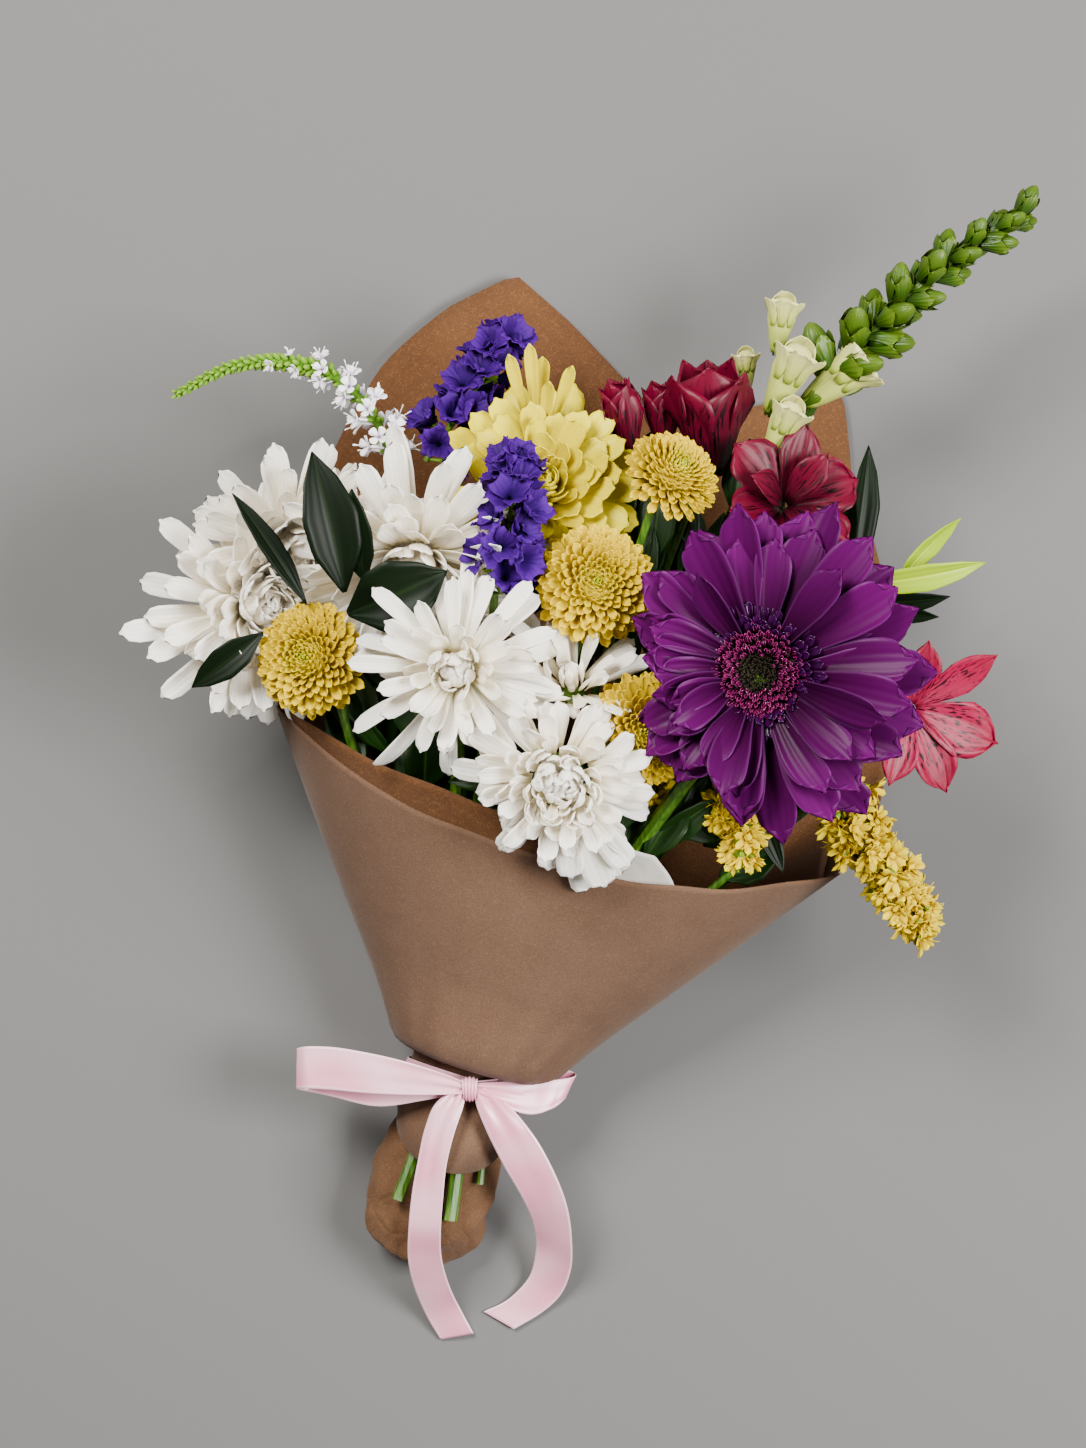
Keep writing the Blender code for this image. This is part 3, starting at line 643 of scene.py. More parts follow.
def petal_material(name, root, middle, tip, shade, roughness=0.5, veins=0.25, glow=0.0, shine=0.22):
    """Petal skin: its colour runs from root to tip, each petal has its own tone, and fine veins run
    lengthways as faint ridges; glow is how much light passes through the thin flesh."""
    petal = new_material(name, Roughness=roughness, Specular_IOR_Level=shine, Subsurface_Weight=glow,
                         Subsurface_Radius=(1.0, 0.9, 0.7), Subsurface_Scale=0.002)
    along, across, tone = [add_node(petal, "Attribute", attribute_name=mark).outputs["Fac"]
                           for mark in ("along", "across", "tone")]
    to_shader(petal, Base_Color=add_node(petal, "ValToRGB", {"Fac": along},
                                         stops=((0.0, root), (0.45, middle), (1.0, tip))))
    paint_over(petal, add_node(petal, "MapRange", {"Value": tone, "To Max": 0.35}), shade, "MULTIPLY")
    # Five veins over a petal's width.
    ribs = add_node(petal, "Math", {0: across, 1: 15.0}, operation="MULTIPLY")
    wave = add_node(petal, "Math", {0: ribs}, operation="SINE")
    shade_by(petal, add_node(petal, "MapRange", {
        "Value": wave, "From Min": -1.0, "To Min": 1.0 - 0.12 * veins, "To Max": 1.0 + 0.05 * veins}))
    to_shader(petal, Normal=add_node(petal, "Bump", {"Height": wave, "Strength": veins, "Distance": 0.00015}))
    return petal


def body_marks(rows, columns, across):
    """The marks that petals have, for a closed body: how far along it is, and its waves across."""
    half = np.full(rows * columns, 0.5)
    return {"along": np.repeat(np.linspace(0, 1, rows), columns), "across": np.tile(across, rows), "tone": half,
            "share": half}


def lathe(profile, columns=20, squash=1.0):
    """A closed round body from radius and height pairs, with the same marks as petals."""
    profile = np.array(profile, float)
    turn = np.arange(columns) / columns * 2 * math.pi
    points = np.stack([profile[:, :1] * np.cos(turn), profile[:, :1] * np.sin(turn) * squash,
                       np.repeat(profile[:, 1:], columns, axis=1)], axis=-1).reshape(-1, 3)
    return (points, grid_faces(len(profile), columns, closed=True),
            body_marks(len(profile), columns, np.cos(turn * 2)))


def grow(name, nodes, parts, material, thickness=0.35):
    """One piece of the bunch, from all its petals, cups, twigs or leaves."""
    points, faces, marks = join(parts)
    add_piece(name, points, faces, material, nodes, thickness, marks=marks)


HEART = lathe([(0.2, -1), (6.5, -0.5), (7.2, 2), (6.4, 5), (4.4, 7), (2, 8), (0.1, 8.3)])  # that petals stand on
OPEN_MUM = [  # share, root, height, length, width, rise, curl, cups
    (0.00, 0.8, 8.0, 9, 5.0, 88, 85, 1.3, 1.2), (0.20, 4.2, 8.0, 13, 6.4, 86, 88, 1.3, 1.1),
    (0.42, 7.0, 7.0, 18, 7.2, 74, 66, 1.1, 0.9), (0.56, 7.6, 5.5, 23, 7.6, 50, 6, 0.9, 0.6),
    (0.78, 8.0, 3.5, 33, 7.8, 24, -20, 0.8, 0.5), (1.00, 8.0, 1.0, 39, 7.8, 0, -42, 0.8, 0.4)]
FULL_MUM = [
    (0.00, 0.8, 9.0, 10, 5.6, 88, 60, 1.2, 1.1), (0.20, 4.2, 9.0, 15, 7.2, 80, 50, 1.0, 0.9),
    (0.45, 7.0, 8.0, 22, 8.4, 64, 18, 0.9, 0.6), (0.70, 8.5, 5.0, 30, 8.4, 42, -8, 0.85, 0.5),
    (1.00, 9.0, 1.5, 36, 8.4, 8, -24, 0.8, 0.45)]
CURLED_MUM = [
    (0.00, 0.8, 11.0, 7, 5.0, 85, 80, 1.2, 1.2), (0.20, 5.5, 10.5, 9, 6.6, 76, 90, 1.1, 1.2),
    (0.45, 10.0, 8.5, 12, 7.6, 55, 75, 1.0, 1.0), (0.70, 13.5, 5.5, 17, 8.4, 30, 25, 0.9, 0.7),
    (1.00, 14.0, 2.0, 25, 9.4, -5, -28, 0.8, 0.4)]

white = petal_material("white_mum_petal", "#F8EEC4", "#FFF7E6", "#FFF8EA", "#F8F0E2", veins=0.3, glow=0.6)
drooping = petal_set(np.radians([-84, -68, -52, -98, -76, -60, -130, 172, 150]), 11, [4, 4, 4, 3, 1, 2, 2, 3, 3],
                     [28, 36, 32, 25, 42, 38, 26, 32, 30], [11, 13, 12, 10, 14, 12, 9, 9, 9],
                     [10, 5, 12, 10, -8, -4, 4, 6, 10], -28, (0.6, 0.35), SPOON, seed=9, share=1.0)
WHITE_HEADS = {  # petals, seed, kind, looseness, centre, the way it faces, its size and its heart's
    "left": [(150, 1, FULL_MUM, 1.0, (-84, 189, 72), (0.4, -0.1, 0.91), 1.16, 1.75)],
    "back": [(135, 2, FULL_MUM, 1.0, (-69, 214, 74), (0.25, -0.34, 0.9), 1.02, 1.6),
             (80, 12, FULL_MUM, 1.0, (-44, 207, 66), (0.0, -0.2, 0.97), 0.9, 0)],
    "top": [(145, 3, FULL_MUM, 1.0, (-19, 207, 86), (0.0, -0.42, 0.9), 1.22, 1.8)],
    "centre": [(112, 4, OPEN_MUM, 1.6, (-2, 163, 120), (-0.05, -0.08, 0.99), 0.94, 0.94)],
    "low": [(150, 5, CURLED_MUM, 1.8, (36, 121, 120), (0.05, -0.25, 0.96), 0.95, 1.3)],
    "mid": [(44, 6, FULL_MUM, 1.8, (42, 154, 104), (-0.1, 0.6, 0.8), 0.78, 0)]}
for place, heads in WHITE_HEADS.items():
    parts = []
    for count, seed, kind, loose, centre, facing, size, heart_size in heads:
        parts.append(placed(rosette(count, seed, kind, loose=loose), centre, facing, size))
        if heart_size:
            parts.append(placed(HEART, centre, facing, heart_size))
    if place == "low":
        parts.append(placed(drooping, (37, 121, 120), (0.05, -0.25, 0.96)))
    grow(f"white_mum_petals_{place}", (f"white_mum_{place}",), parts, white)

# ---------------------------------------------------------------------- the yellow mum and pompons
# One lemon-yellow mum with broad shining petals behind the statice, and four button pompons whose
# small spoon petals are packed in spirals and turn green in the middle.

BROAD_MUM = [
    (0.00, 0.6, 9.0, 9, 5.0, 86, 50, 1.2, 1.0), (0.25, 3.4, 8.0, 14, 6.8, 76, 36, 1.0, 0.8),
    (0.50, 5.6, 6.0, 21, 9.0, 55, 10, 0.8, 0.5), (0.75, 7.0, 4.0, 27, 10.2, 34, -8, 0.6, 0.35),
    (1.00, 8.0, 1.5, 31, 10.6, 8, -20, 0.5, 0.3)]
BUTTON = [
    (0.00, 0.4, 12.0, 3.0, 1.3, 88, 20, 1.4, 1.3), (0.10, 3.8, 11.8, 4.0, 2.0, 80, 25, 1.5, 1.3),
    (0.24, 6.6, 10.8, 5.6, 3.0, 64, 15, 1.4, 1.0), (0.45, 9.6, 8.6, 7.6, 4.2, 42, 14, 1.3, 0.9),
    (0.70, 12.0, 5.0, 9.2, 4.9, 20, 14, 1.3, 0.85), (1.00, 13.0, 0.0, 10.6, 5.2, -10, 10, 1.3, 0.8)]
BUTTON_HEART = lathe([(0.2, -2.5), (12, -2), (12.6, 1), (11.6, 4.6), (9, 8), (5.6, 10.4), (2.5, 11.4), (0.1, 11.6)])
BUTTON_PETAL = [(0, 0.55), (0.4, 0.75), (0.7, 1.0), (0.86, 0.95), (0.95, 0.7), (1, 0.3)]

lemon = petal_material("lemon_mum_petal", "#B4A400", "#D4C400", "#DACC00", "#DCC400", roughness=0.4,
                       veins=0.2, shine=0.15)
buds = petal_set(np.radians([80, 96, 110, 66, 88]), [6, 9, 12, 10, 14], 5, [22, 30, 26, 24, 20], [6, 6, 6, 6, 7],
                 [44, 30, 34, 34, 20], [20, 18, 25, 20, 20], (1.4, 1.25), SPOON, seed=19, share=0.6)
grow("yellow_mum_petals", ("yellow_mum",),
     [placed(rosette(104, 7, BROAD_MUM, loose=0.9), (29, 231, 74), (0.12, 0.3, 0.95), 1.12),
      placed(buds, (29, 246, 74), (0, 0.3, 0.95), 1.15)], lemon)


def button_material(name, centre, ring, rim, shade):
    """Pompon petals: green in the middle of the head, golden outside, shaded inside each small cup."""
    petal = petal_material(name, rim, rim, rim, shade, roughness=0.5, veins=0.1, shine=0.12)
    share, along = [add_node(petal, "Attribute", attribute_name=mark).outputs["Fac"]
                    for mark in ("share", "along")]
    to_shader(petal, Base_Color=add_node(petal, "ValToRGB", {"Fac": share}, stops=(
        (0.0, centre), (0.10, ring), (0.34, rim), (1.0, rim))))
    # Painted shade and light: each petal is darkened towards its root, deep inside its cup, and lightened towards its
    # tip.
    shade_by(petal, add_node(petal, "MapRange", {
        "Value": along, "From Min": 0.2, "From Max": 0.9, "To Min": 0.62, "To Max": 1.15}))
    return petal


golden = button_material("golden_pompon_petal", "#9CA800", "#C0B000", "#CCAE00", "#D0A800")
for place, seed, centre, facing, size in (
        ("left", 31, (-58, 167, 100), (-0.25, 0.05, 0.96), 0.98), ("mid", 32, (50, 195, 108), (0.08, 0.1, 0.98), 1.03),
        ("top", 33, (79, 236, 100), (0.42, 0.5, 0.75), 0.86), ("low", 34, (69, 140, 112), (0.1, -0.15, 0.97), 0.98)):
    grow(f"pompon_petals_{place}", (f"pompon_{place}",),
         [placed(part, centre, facing, size)
          for part in (rosette(215, seed, BUTTON, BUTTON_PETAL, loose=0.6, rows=6), BUTTON_HEART)],
         golden, 0.25)

# --------------------------------------------------------------------------------------- the gerbera
# One violet gerbera as large as a hand at the right: two rows of long satin petals, cupped and steeper on
# its left side, a ruff of short glossy ones, a ring of maroon florets and a dark eye.

LONG_PETAL = [(0, 0.34), (0.25, 0.62), (0.55, 0.94), (0.76, 1.0), (0.89, 0.9), (0.96, 0.68), (0.99, 0.42), (1, 0.22)]


def on_gerbera(*parts):
    """Parts of the gerbera, set where it stands and turned the way it faces."""
    return [placed(part, (113, 162, 124), (-0.24, -0.05, 0.97)) for part in parts]


def gerbera_row(count, turn, root, height, length, width, rise, seed):
    """A row of ray petals; those on the left stand up and are folded, those on the right lie open."""
    turns = np.random.default_rng(seed)
    azimuth = np.arange(count) * 2 * math.pi / count + turn + turns.normal(0, 0.05, count)
    left = np.clip(-np.cos(azimuth - 0.25), 0, 1)
    return petal_set(azimuth, root, height, length * (1.04 - 0.3 * left) * (1 + turns.normal(0, 0.045, count)),
                     width * (1 - 0.12 * left), rise + 52 * left + turns.normal(0, 7, count),
                     -14 - 40 * left, (0.75 + 0.3 * left, 0.3 + 0.5 * left), LONG_PETAL, rows=14, columns=7,
                     bend=turns.normal(0, 0.08, count), twist=turns.normal(0, 0.3, count), tip=0.3, seed=seed)


violet = petal_material("violet_gerbera_petal", "#10000A", "#3A0036", "#50004E", "#280028", roughness=0.34,
                        veins=0.35, shine=0.06)


def paint_across(material, start, full, most, colour):
    """Lays a colour on a petal or leaf between two shares of the way from its middle to its edge."""
    across = add_node(material, "Attribute", attribute_name="across").outputs["Fac"]
    side = add_node(material, "Math", {0: across}, operation="ABSOLUTE")
    paint_over(material, add_node(material, "MapRange", {
        "Value": side, "From Min": start, "From Max": full, "To Max": most}), colour)


# The rims of the petals are painted paler and pinker: a painted highlight along their edges.
paint_across(violet, 0.86, 1.0, 0.12, "#8C4C98")
lobes = petal_set(np.radians([206, 224]), [19, 18], [13, 11], [28, 32], [16, 19], [36, 26], [-50, -44], (0.5, 0.25),
                  [(0, 0.3), (0.4, 0.7), (0.7, 1.0), (0.9, 0.85), (1, 0.45)], rows=12, columns=7, seed=61)
grow("gerbera_ray_petals", ("gerbera_petals",),
     on_gerbera(gerbera_row(18, 0.0, 15, 0, 50, 19, 2, 51), gerbera_row(18, 0.18, 14, 3, 46, 18, 10, 52),
                gerbera_row(15, 0.5, 14, 5.5, 38, 15, 18, 53), lobes), violet)

ruff = petal_material("violet_gerbera_ruff", "#0C000C", "#1C001C", "#34003C", "#100010", roughness=0.22, veins=0.2)
turns = np.random.default_rng(54)
parts = []
for count, root, length, rise in ((44, 17.0, 10.0, 34), (40, 15.5, 8.5, 52), (34, 14.5, 7.0, 66)):
    azimuth = np.arange(count) * 2 * math.pi / count + turns.normal(0, 0.05, count)
    parts.append(petal_set(azimuth, root, 4.5, length * (1 + turns.normal(0, 0.12, count)), 3.6, rise,
                           -30 + turns.normal(0, 14, count), (1.2, 0.9), SPOON, rows=6, seed=count))
grow("gerbera_ruff_petals", ("gerbera_petals",), on_gerbera(*parts), ruff)


def florets(count, seed, inner, outer, length, width, rise, height, slope=0.0):
    """Small tubes packed in spirals between two radii of a disc."""
    turns = np.random.default_rng(seed)
    share = (np.arange(count) + 0.5) / count
    root = np.sqrt(inner**2 + share * (outer**2 - inner**2))
    azimuth = np.arange(count) * GOLDEN_ANGLE
    return petal_set(azimuth, root, height + slope * share, length * (1 + turns.normal(0, 0.15, count)), width,
                     rise + turns.normal(0, 14, count), -20 + turns.normal(0, 20, count), (2.4, 2.0),
                     [(0, 0.7), (0.6, 0.8), (0.85, 1.2), (1, 0.5)], rows=5, columns=6, share=share, seed=seed)


maroon = petal_material("maroon_disc_floret", "#200012", "#42002A", "#740E50", "#280018", roughness=0.3, veins=0.1)
# Pollen and stigmas show as pale grains under half a millimetre across.
place = add_node(maroon, "TexCoord").outputs["Object"]
pollen_grains = add_node(maroon, "TexNoise", {"Vector": place, "Scale": 1400.0})
paint_over(maroon, add_node(maroon, "MapRange", {
    "Value": pollen_grains, "From Min": 0.66, "From Max": 0.7}), "#E3A8C4")
grow("gerbera_disc_florets", ("gerbera_disc",), on_gerbera(florets(330, 55, 7.0, 17.0, 4.6, 2.6, 78, 4.6, 0.6)),
     maroon, 0.2)
eye = petal_material("black_gerbera_eye", "#0E0A08", "#17110D", "#2B2416", "#050505", roughness=0.6, veins=0.1)
grow("gerbera_eye", ("gerbera_disc",), on_gerbera(florets(190, 56, 0.0, 7.6, 3.0, 1.3, 86, 3.4, 1.4)),
     eye, 0.15)


# The receptacle under the gerbera's florets and the green cups that hold each mum and pompon.
green_skin = petal_material("green_calyx_skin", "#2E4810", "#40621A", "#587E26", "#2E4812", roughness=0.5, veins=0.3)
receptacle = lathe([(0.3, -2.5), (13, -2.4), (18, 0.5), (18.5, 3.8), (15, 4.8), (8, 4.4), (0.3, 3.4)], 40)
grow("gerbera_receptacle", (), on_gerbera(receptacle), eye, 0.0)
CUP = [(0.3, -9), (3, -8.6), (6.5, -6), (8.4, -2.5), (7.6, -1.4), (0.3, -1.2)]
CUP_PLACES = [
    ((-84, 189, 72), (0.4, -0.1, 0.91), 1.0), ((-69, 214, 74), (0.25, -0.34, 0.9), 1.0),
    ((-19, 207, 86), (0.0, -0.42, 0.9), 1.0), ((-2, 164, 120), (-0.05, -0.08, 0.99), 0.8),
    ((37, 121, 120), (0.05, -0.25, 0.96), 1.2), ((42, 154, 104), (-0.1, 0.6, 0.8), 0.6),
    ((29, 231, 74), (0.12, 0.3, 0.95), 1.0), ((-58, 167, 100), (-0.25, 0.05, 0.96), 1.3),
    ((50, 195, 108), (0.08, 0.1, 0.98), 1.35), ((79, 236, 100), (0.42, 0.5, 0.75), 1.1),
    ((69, 140, 112), (0.1, -0.15, 0.97), 1.3)]
grow("calyx_cups", (), [placed(lathe(CUP), *place) for place in CUP_PLACES], green_skin, 0.0)

# ----------------------------------------------------------------------- statice and alstroemeria
# Two heads of papery blue-violet statice stand among the mums: ruffled funnels with five lobes on
# green winged twigs. The crimson alstroemerias are six-petalled: a closed goblet and a bud behind,
# an open streaked flower beside them and a pinker spotted one at the far right.

papery = petal_material("violet_blue_statice", "#200450", "#300460", "#440A7A", "#220450", roughness=0.6,
                        veins=0.5, shine=0.12)
LANCE = [(0, 0.2), (0.3, 0.72), (0.55, 1.0), (0.75, 0.86), (0.9, 0.45), (0.97, 0.18), (1, 0.04)]
LOBE = [(0, 0.3), (0.4, 0.62), (0.75, 1.0), (0.9, 0.95), (1, 0.7)]
twig_skin = petal_material("green_twig_skin", "#4C7016", "#6C9424", "#8FB43A", "#4C6E1C", roughness=0.5, veins=0.3)


def along_path(path, share):
    """Place and direction at a share of the way along a smooth path."""
    line = curve_through(path, 40)
    where = np.clip(share, 0, 1) * 39
    low = min(int(where), 38)
    return line[low] + (line[low + 1] - line[low]) * (where - low), unit(line[low + 1] - line[low])


def tube(path, radii, columns=10, rows=24):
    """A round twig along a smooth path."""
    line = curve_through(path, rows)
    ahead = np.gradient(line, axis=0)
    ahead /= np.linalg.norm(ahead, axis=1)[:, None]
    beside = np.cross(ahead, [0.3, 0.2, 0.93])
    beside /= np.linalg.norm(beside, axis=1)[:, None]
    above = np.cross(ahead, beside)
    radius = np.interp(np.linspace(0, 1, rows), np.linspace(0, 1, len(radii)), radii)[:, None, None]
    turn = np.arange(columns) / columns * 2 * math.pi
    points = line[:, None] + radius * (beside[:, None] * np.cos(turn)[None, :, None]
                                       + above[:, None] * np.sin(turn)[None, :, None])
    return points.reshape(-1, 3), grid_faces(rows, columns, closed=True), body_marks(rows, columns, np.cos(turn))


def around_axis(ahead, turn, lean):
    """A direction that leans away from an axis by an angle in degrees, at a turn round it."""
    rows = turned(ahead)
    lean = math.radians(lean)
    return unit(math.sin(lean) * (math.cos(turn) * rows[0] + math.sin(turn) * rows[1]) + math.cos(lean) * rows[2])


def statice(name, node, path, count, reach, seed):
    """A head of funnel flowers round a branching twig; each sits in a green cup."""
    turns = np.random.default_rng(seed)
    funnels, greens = [], [tube(path, [1.3, 1.0, 0.7])]
    for i in range(count):
        share = (i + 0.4) / count
        place, ahead = along_path(path, share)
        out = around_axis(ahead, i * GOLDEN_ANGLE, 62 - 30 * share)
        out = unit(out + [0, 0, 0.35])
        base = place + out * reach * (1.15 - 0.45 * share) * turns.uniform(0.6, 1.0)
        size = turns.uniform(0.85, 1.15)
        five = np.arange(5) * 2 * math.pi / 5 + turns.uniform(0, 6)
        funnel = petal_set(five, 0.5, 0, 9.4 * size, 9.6 * size, 64 + turns.normal(0, 7, 5), -34, (0.9, 0.25), LOBE,
                           rows=9, columns=7, power=2.2, tip=-0.12, ruffle=0.12, seed=seed * 40 + i)
        facing = unit(out + turns.normal(0, 0.22, 3) + [0, 0, 0.25])
        funnels.append(placed(funnel, base, facing))
        greens.append(tube([place, (place + base) / 2 + [0, 0, -0.5], base], [0.6, 0.6, 1.2], 6, 6))
        five = np.arange(5) * 2 * math.pi / 5
        greens.append(placed(petal_set(five, 0.3, -3.2, 5.0, 2.4, 70, -10, (0.8, 0.5), LOBE, rows=4, columns=3,
                                       seed=i), base, facing))
    grow(name, (node,), funnels, papery, 0.2)
    return greens


twigs = statice("statice_top_flowers", "statice_top", [(-16, 246, 58), (0, 268, 62), (15, 292, 60)], 25, 9.5, 71)
twigs += statice("statice_mid_flowers", "statice_mid", [(14, 192, 106), (17, 216, 114), (20, 240, 110)], 24, 9.5, 73)
grow("statice_twigs", (), twigs, twig_skin, 0.0)


def alstroemeria_material(name, root, middle, tip, streak, spots):
    """Smooth fleshy petals with dark streaks that follow their length and fade out before the tip."""
    petal = petal_material(name, root, middle, tip, root, roughness=0.42, veins=0.4)
    along, across, tone = [add_node(petal, "Attribute", attribute_name=mark).outputs["Fac"]
                           for mark in ("along", "across", "tone")]
    shift = add_node(petal, "Math", {0: tone, 1: 40.0}, operation="MULTIPLY")
    cell = add_node(petal, "CombineXYZ", {"X": along, "Y": across, "Z": shift})
    # Streaks run lengthways: about 11 by 1.5 mm on the crimson petals, and 4 by 1 mm on the rose ones.
    scaled = add_node(petal, "VectorMath", {0: cell, 1: (spots, 7.0, 1.0)}, operation="MULTIPLY")
    noise = add_node(petal, "TexNoise", {"Vector": scaled, "Scale": 1.6, "Detail": 1.0})
    mark = add_node(petal, "MapRange", {"Value": noise, "From Min": 0.57, "From Max": 0.61})
    inner = add_node(petal, "MapRange", {"Value": along, "From Min": 0.95, "From Max": 0.6})
    paint_over(petal, add_node(petal, "Math", {0: mark, 1: inner}, operation="MULTIPLY"), streak)
    return petal


crimson = alstroemeria_material("crimson_alstroemeria", "#28000C", "#50001C", "#640024", "#080004", 2.5)
rose = alstroemeria_material("rose_alstroemeria", "#A02048", "#9C0840", "#84042E", "#200008", 6.0)
TEPAL = [(0, 0.2), (0.3, 0.55), (0.62, 1.0), (0.8, 0.92), (0.92, 0.62), (0.98, 0.3), (1, 0.1)]
six = np.radians([0, 60, 120, 180, 240, 300])
goblet = [petal_set(six[::2] + 0.5, 2.5, 0, 47, 42, 70, 24, (1.2, 0.8), TEPAL, 14, 9, ruffle=0.03, seed=81),
          petal_set(six[1::2] + 0.5, 4.0, 0, 45, 38, 65, 22, (1.2, 0.75), TEPAL, 14, 9, ruffle=0.03, seed=82)]
grow("alstroemeria_goblet_petals", ("alstroemeria_goblet",),
     [placed(part, (97, 240, 64), (-0.05, 0.95, 0.3)) for part in goblet], crimson, 0.4)
bud = [petal_set(six[::2], 1.0, 0, 29, 18, 82, 4, (1.3, 1.0), TEPAL, 12, 7, seed=83),
       petal_set(six[1::2], 1.8, 0, 28, 17, 80, 4, (1.3, 1.0), TEPAL, 12, 7, seed=84)]
bud_places = [((66, 243, 66), (-0.2, 0.93, 0.3), 1.25), ((79, 245, 58), (-0.1, 0.93, 0.3), 1.15)]
grow("alstroemeria_bud_petals", ("alstroemeria_bud",),
     [placed(part, *place) for part in bud for place in bud_places], crimson, 0.4)
open_flower = [
    petal_set(six + 0.35, 2.0, 0, [30, 32, 31, 29, 28, 31], [24, 17, 24, 18, 25, 18], [34, 44, 36, 40, 28, 42], -34,
              (0.7, 0.3), TEPAL, 14, 9, ruffle=0.07, seed=85),
    petal_set(six[::2] + 0.9, 1.5, 2, 27, 14, 58, -30, (0.8, 0.4), LANCE, 10, 7, ruffle=0.08, seed=86)]
grow("alstroemeria_open_petals", ("alstroemeria_open",),
     [placed(part, (124, 227, 78), (0.25, 0.3, 0.92)) for part in open_flower], crimson, 0.35)
far_flower = petal_set(
    np.radians([34, -22, -66, -110, 84, 150]), 2.0, 0, [38, 38, 35, 30, 28, 24], [14, 24, 19, 16, 16, 14],
    [14, 8, 10, 18, 30, 34], [10, -16, -20, -26, -20, -20], (0.7, 0.3), LANCE, 14, 9, ruffle=0.05, seed=87)
grow("alstroemeria_right_petals", ("alstroemeria_right",), [placed(far_flower, (174, 148, 78), (0.3, -0.1, 0.95))],
     rose, 0.35)

# --------------------------------------------------------------- snapdragon, veronica and goldenrod
# Three kinds of spike reach out past the wrapper: a green-budded snapdragon with its first cream
# flowers, a thin arching veronica at the left, and golden sprays of goldenrod at the lower right.

SNAPDRAGON_PATH = [(133, 262, 62), (147, 284, 70), (168, 304, 75), (192, 325, 78), (215, 339, 80)]
BUD = [(0.05, 0), (0.9, 0.12), (1.4, 0.9), (1.65, 2.1), (1.6, 3.4), (1.2, 4.7), (0.7, 5.5), (0.05, 5.9)]
bud_skin = petal_material("green_snapdragon_bud", "#1C3206", "#304E0A", "#587218", "#1C3206", roughness=0.34, veins=0.5)
cream = petal_material("cream_snapdragon_petal", "#8CA030", "#C2C66C", "#D8D490", "#AEB460", roughness=0.42, veins=0.3,
                       glow=0.3)
turns = np.random.default_rng(91)
greens, creams = [tube([(127, 240, 58)] + SNAPDRAGON_PATH, [3.2, 3.0, 2.6, 2.0, 1.2])], []
bud_count = 23
for i in range(bud_count):
    share = 0.12 + 0.88 * (i / (bud_count - 1)) ** 0.95
    place, ahead = along_path(SNAPDRAGON_PATH, share)
    lean = 56 - 28 * share
    out = around_axis(ahead, i * GOLDEN_ANGLE + 0.6, lean)
    size = (3.5 - 1.5 * share) * turns.uniform(0.88, 1.1)
    base = place + out * 0.8
    greens.append(placed(lathe(BUD, 14, 0.86), base + out * 0.6 * size, out, size))
    # Four sepals clasp each bud to two thirds of its length.
    four = np.arange(4) * math.pi / 2 + 0.4
    greens.append(placed(petal_set(four, 1.2, -0.2, 4.3, 3.4, 72, 26, (0.9, 0.7), LOBE, rows=6, columns=5, tip=0.4,
                                   seed=i), base + out * 0.6 * size, out, size * 1.08))


def snapdragon_flower(base, ahead, size):
    """A swollen tube with two folded upper lobes and a lower lip of three, and the sepals at its foot."""
    throat = lathe([(1.8, 0), (2.6, 2), (3.4, 5), (4.3, 9), (5.2, 12.5), (5.4, 15.5), (4.6, 18.2), (3.2, 20.0),
                    (1.6, 20.8), (0.1, 21.0)], 24, 0.84)
    upper = petal_set(np.radians([62, 118]), 4.6, 10.0, 14.0, 11.5, 82, 52, (1.2, 1.0), LOBE, rows=12, columns=9,
                      ruffle=0.05, seed=3)
    lower = petal_set(np.radians([222, 270, 318]), 4.6, 10.0, 11.0, 8.8, 78, -30, (1.0, 0.6), LOBE, rows=10,
                      columns=7, ruffle=0.1, seed=4)
    sepals = petal_set(np.arange(5) * 1.257, 1.2, -1.2, 6.0, 3.8, 66, 18, (0.8, 0.6), LOBE, rows=6, seed=5)
    return [placed(part, base, ahead, size) for part in (throat, upper, lower)], placed(sepals, base, ahead, size)


for base, ahead, size in (((119, 264, 74), (0.42, 0.85, 0.25), 1.4), ((133, 268, 68), (0.85, 0.6, 0.1), 1.5),
                          ((118, 246, 78), (0.42, 0.85, 0.25), 1.15), ((111, 274, 60), (-0.05, 0.9, 0.25), 0.75),
                          ((122, 288, 66), (0.15, 0.95, 0.15), 1.05)):
    petals, sepals = snapdragon_flower(base, ahead, size)
    creams += petals
    greens.append(sepals)
grow("snapdragon_flowers", (), creams, cream, 0.25)
grow("snapdragon_spike", ("snapdragon",), greens, bud_skin, 0.0)

